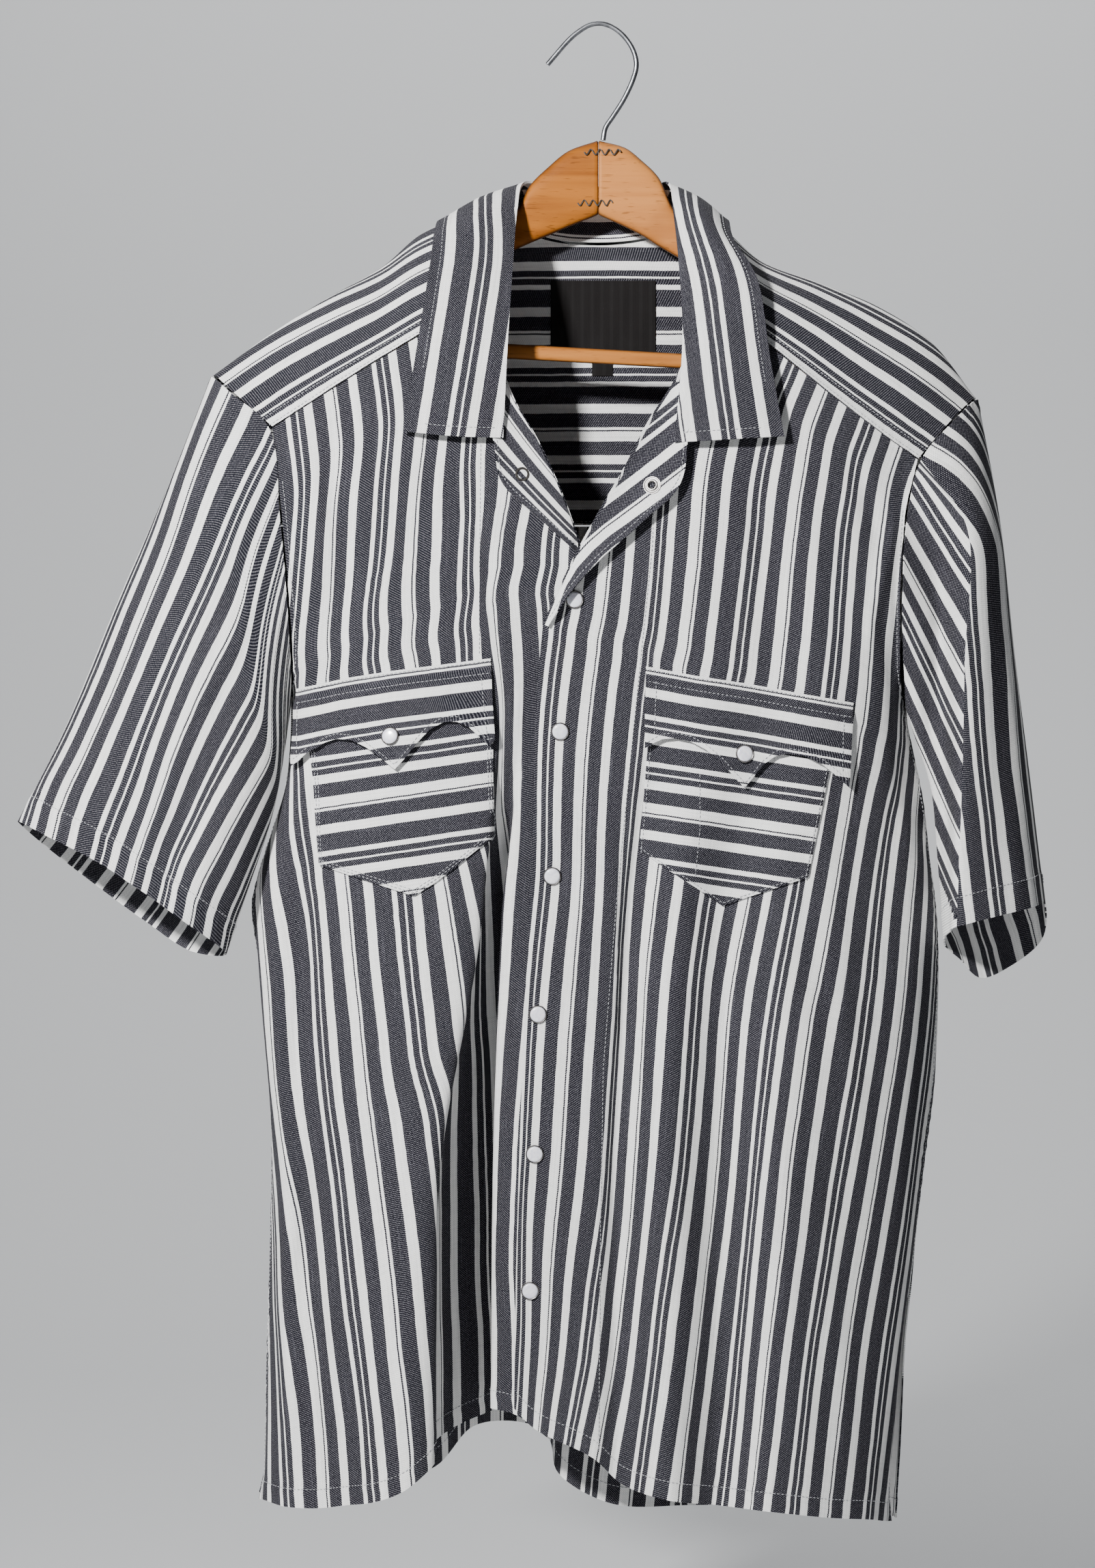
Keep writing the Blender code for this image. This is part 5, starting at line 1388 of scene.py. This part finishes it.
class SHIRT_OT_label(bpy.types.Operator):
    """The bare woven label and the small tab under it"""
    bl_idname, bl_label = "shirt.label", "Label and tab"

    def execute(self, context):
        surface = Surface(PIECES["yoke"])
        for name, left, right, top, foot, cols, rows in (("label", -30, 36, 158, 206, 50, 36),
                                                         ("size_tab", -4, 9, 207, 218, 14, 12)):
            cloth = Cloth(ruled(surface, [(left, top), (right, top)], [(left, foot), (right, foot)],
                                1.1, cols, rows))
            cloth.across, cloth.along = cloth.over(), cloth.fall()
            cloth.push(0.18 * np.sin(cloth.across / 3.1) * np.sin(cloth.along / 9.0))
            cloth.solid(name, 0.5, "ribbon", "label_cloth")
        return {"FINISHED"}


class SHIRT_OT_stitches(bpy.types.Operator):
    """All lines of stitches, laid along the seams"""
    bl_idname, bl_label = "shirt.stitches", "Stitches"

    def execute(self, context):
        given = context.scene.shirt_sizes
        sizes = {"Pitch": given.pitch, "Length": given.pitch * 0.72, "Thread": given.thread}
        verts, edges = [], []
        for line in STITCHES:
            k = len(verts)
            verts += [tuple(p) for p in line]
            edges += [(i, i + 1) for i in range(k, len(verts) - 1)]
        mesh = bpy.data.meshes.new("stitches")
        mesh.from_pydata(verts, edges, [])
        settle(made("stitches", mesh, stitch_tree(finish_of("thread"), sizes), sizes), "striped_cloth")
        return {"FINISHED"}


class SHIRT_OT_snaps(bpy.types.Operator):
    """Pearl caps in their metal rims, and the open ring and socket on the lapels"""
    bl_idname, bl_label = "shirt.snaps", "Snaps"

    def execute(self, context):
        spots = [("front_right", f"front_{i + 1}", x, drop) for i, (x, drop) in enumerate(FRONT_SNAPS)]
        spots += [("flap_" + side, "flap_" + side, x, drop) for side, x, drop in FLAP_SNAPS]
        places = [Surface(PIECES[on]).at(x, drop, CLOTH / 2) for on, _, x, drop in spots]
        for name, node, finish, slot, profile, ring in (
                ("snap_caps", "snap_cap_", "cap", "pearl_cap", CAP, False),
                ("snap_rims", "snap_rim_", "rim", "snap_metal", RIM, True)):
            set_on(name, places, profile, 56, ring, finish, slot, [node + s[1] for s in spots])
        for name, side, x, drop, finish, profile in (
                ("lapel_ring", "left", -48, 280, "dull", LAPEL_RING),
                ("lapel_socket", "right", 34, 287, "rim", LAPEL_SOCKET)):
            place = Surface(PIECES["lapel_" + side]).at(x, drop, CLOTH / 2)
            set_on(name + "_metal", [place], profile, 48, True, finish, "snap_metal", [name])
        return {"FINISHED"}


class SHIRT_OT_hanger(bpy.types.Operator):
    """The wooden halves, the trouser bar, the wire hook and the corrugated fasteners"""
    bl_idname, bl_label = "shirt.hanger", "Hanger"

    def execute(self, context):
        for side, rows, way in (("left", ARM_LEFT, -1), ("right", ARM_RIGHT, 1)):
            x, top, low = (table(range(len(rows)), c) for c in zip(*rows))
            rings = []
            for q in np.linspace(0, len(rows) - 1, 8 * len(rows) - 7):
                half, mid, at = (low(q) - top(q)) / 2, (low(q) + top(q)) / 2, x(q)
                if q == 0:            # the halves' inner edges are a little rounded where they meet
                    rings.append(round_section(way * 0.06, mid, 0, half - 0.7, WOOD / 2 - 0.8, 40, 0.55))
                    at = way * 0.9
                rings.append(round_section(at, mid, -15 * (at / 205) ** 2, half, WOOD / 2, 40, 0.55))
            # each half takes its own copy of the wood: darker on the left as painted shade, lighter on
            # the right as painted light
            settle(skinned("hanger_wood_" + side, rings, material=finish_of(side)), "hanger_wood",
                   "hanger_arm_" + side)
        rings = [round_section(-161 + 341 * t, 196.7 + 19.2 * t, -14, BAR_H / 2, BAR_D / 2, 28)
                 for t in np.linspace(0, 1, 24)]
        settle(skinned("hanger_bar", rings, material=finish_of("bar")), "hanger_wood", "trouser_bar")
        settle(self.wire(context), "hook_steel", "hook")
        for i, (x0, x1, drop) in enumerate(((-9, 14, 77), (-13, 9, 109))):
            t = np.linspace(0, 1, 97)
            x, d = x0 + (x1 - x0) * t, drop + 1.7 * np.sin(t * 8 * math.pi)
            strip = Cloth(np.stack([seen(x, d, y) for y in (-6.2, -7.0, -7.7)]), (0, 0, 1))
            strip.across = strip.along = strip.over()
            # the fasteners take the steel darkened as painted shade
            strip.solid(f"corrugated_fastener_{i + 1}", 0.7, "dull", "hook_steel")
        return {"FINISHED"}

    def wire(self, context):
        """The hook: round wire along its line, closed at both ends."""
        curve = bpy.data.curves.new("hook_line", "CURVE")
        curve.dimensions, curve.use_fill_caps = "3D", True
        curve.bevel_depth, curve.bevel_resolution = WIRE / 2000, 6
        points = through(seen(*np.array(HOOK, float).T, 0.0), 10)
        spline = curve.splines.new("POLY")
        spline.points.add(len(points) - 1)
        for q, p in zip(spline.points, points):
            q.co = (*p, 1)
        line = added("hook_line", curve)
        bm = bmesh.new()
        bm.from_mesh(bpy.data.meshes.new_from_object(
            line.evaluated_get(context.evaluated_depsgraph_get())))
        bpy.data.objects.remove(line)
        bmesh.ops.remove_doubles(bm, verts=bm.verts, dist=1e-6)
        for f in bm.faces:
            f.smooth = True
        return finished("hook_wire", bm, 50, finish_of("steel"))


class SHIRT_OT_stage(bpy.types.Operator):
    """Pale floor and sweep, soft studio light, and the camera"""
    bl_idname, bl_label = "shirt.stage", "Stage"

    def execute(self, context):
        scene = context.scene
        floor, back, bend, half = -1.12, 3.1, 1.3, 4.5
        line = [(-3.6, floor), (back - bend, floor)]
        line += [(back - bend + bend * math.sin(a), floor + bend - bend * math.cos(a))
                 for a in np.linspace(0.15, math.pi / 2, 14)]
        line += [(back, 3.4)]
        mesh = bpy.data.meshes.new("sweep")
        mesh.from_pydata([(x, y, z) for y, z in line for x in (-half, half)], [],
                         [(2 * i, 2 * i + 1, 2 * i + 3, 2 * i + 2) for i in range(len(line) - 1)])
        for p in mesh.polygons:
            p.use_smooth = True
        paper = Nodes("pale_paper")
        paper.give(Base_Color=(0.60, 0.61, 0.62, 1), Roughness=0.9)
        mesh.materials.append(paper.material)
        added("sweep", mesh)
        shirt, sweep = (-0.03, 0.0, -0.46), (0, back, -0.3)
        for name, place, power, size, colour, aim in (
                ("key", (-0.84, -1.50, 0.34), 78, (0.15, 0.15), (1.0, 0.99, 0.98), shirt),
                ("fill", (1.6, -2.4, -0.2), 1.5, (1.8, 1.8), (0.93, 0.96, 1.0), shirt),
                ("top", (0.3, 0.5, 1.9), 3, (1.6, 1.6), (1.0, 1.0, 1.0), shirt),
                ("behind", (1.3, 1.6, 1.2), 6, (0.9, 0.9), (1.0, 1.0, 1.0), shirt),
                ("backdrop", (0.2, 1.3, 2.1), 75, (2.4, 0.8), (1.0, 1.0, 1.0), sweep)):
            light = bpy.data.lights.new(name, "AREA")
            light.shape, light.energy, light.color = "RECTANGLE", power, colour
            light.size, light.size_y = size
            lamp = added(name, light)
            lamp.location = place
            lamp.rotation_euler = (Vector(aim) - Vector(place)).to_track_quat("-Z", "Y").to_euler()
        world = bpy.data.worlds.new("studio")
        world.use_nodes = True
        ground = world.node_tree.nodes["Background"]
        ground.inputs[0].default_value = (0.86, 0.9, 1.0, 1)
        ground.inputs[1].default_value = 0.05
        scene.world = world
        view = bpy.data.cameras.new("view")
        view.lens, view.sensor_width, view.clip_end = 5800 / 2296 * 36, 36, 50
        camera = added("view", view)
        camera.location = (SEEN_X / 1000, -SEEN_FROM / 1000, (HOOK_DROP - SEEN_DROP) / 1000)
        camera.rotation_euler = (math.pi / 2, 0, 0)
        scene.camera = camera
        return {"FINISHED"}


ORDER = (SHIRT_OT_stage, SHIRT_OT_fronts, SHIRT_OT_back, SHIRT_OT_yoke_fronts, SHIRT_OT_collar,
         SHIRT_OT_pockets, SHIRT_OT_sleeves, SHIRT_OT_label, SHIRT_OT_stitches, SHIRT_OT_snaps,
         SHIRT_OT_hanger)


class SHIRT_PT_panel(bpy.types.Panel):
    """The shirt's sizes, finishes and pieces"""
    bl_idname, bl_label = "SHIRT_PT_panel", "Pearl snap shirt"
    bl_space_type, bl_region_type, bl_category = "VIEW_3D", "UI", "Shirt"

    def draw(self, context):
        for group in (context.scene.shirt_sizes, context.scene.shirt_finishes):
            for name in group.__annotations__:
                self.layout.prop(group, name)
        for operator in ORDER:
            self.layout.operator(operator.bl_idname)


CLASSES = (ShirtSizes, ShirtFinishes, *ORDER, SHIRT_PT_panel)


def register():
    for c in CLASSES:
        bpy.utils.register_class(c)
    bpy.types.Scene.shirt_sizes = bpy.props.PointerProperty(type=ShirtSizes)
    bpy.types.Scene.shirt_finishes = bpy.props.PointerProperty(type=ShirtFinishes)


def unregister():
    del bpy.types.Scene.shirt_sizes, bpy.types.Scene.shirt_finishes
    for c in reversed(CLASSES):
        bpy.utils.unregister_class(c)


def main():
    register()
    for operator in ORDER:
        group, name = operator.bl_idname.split(".")
        getattr(getattr(bpy.ops, group), name)()
    for o, name in SHEETS:
        across, along, area, rests_on = CUTS[name]
        list(rests_on)
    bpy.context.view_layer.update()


if __name__ == "__main__":
    main()
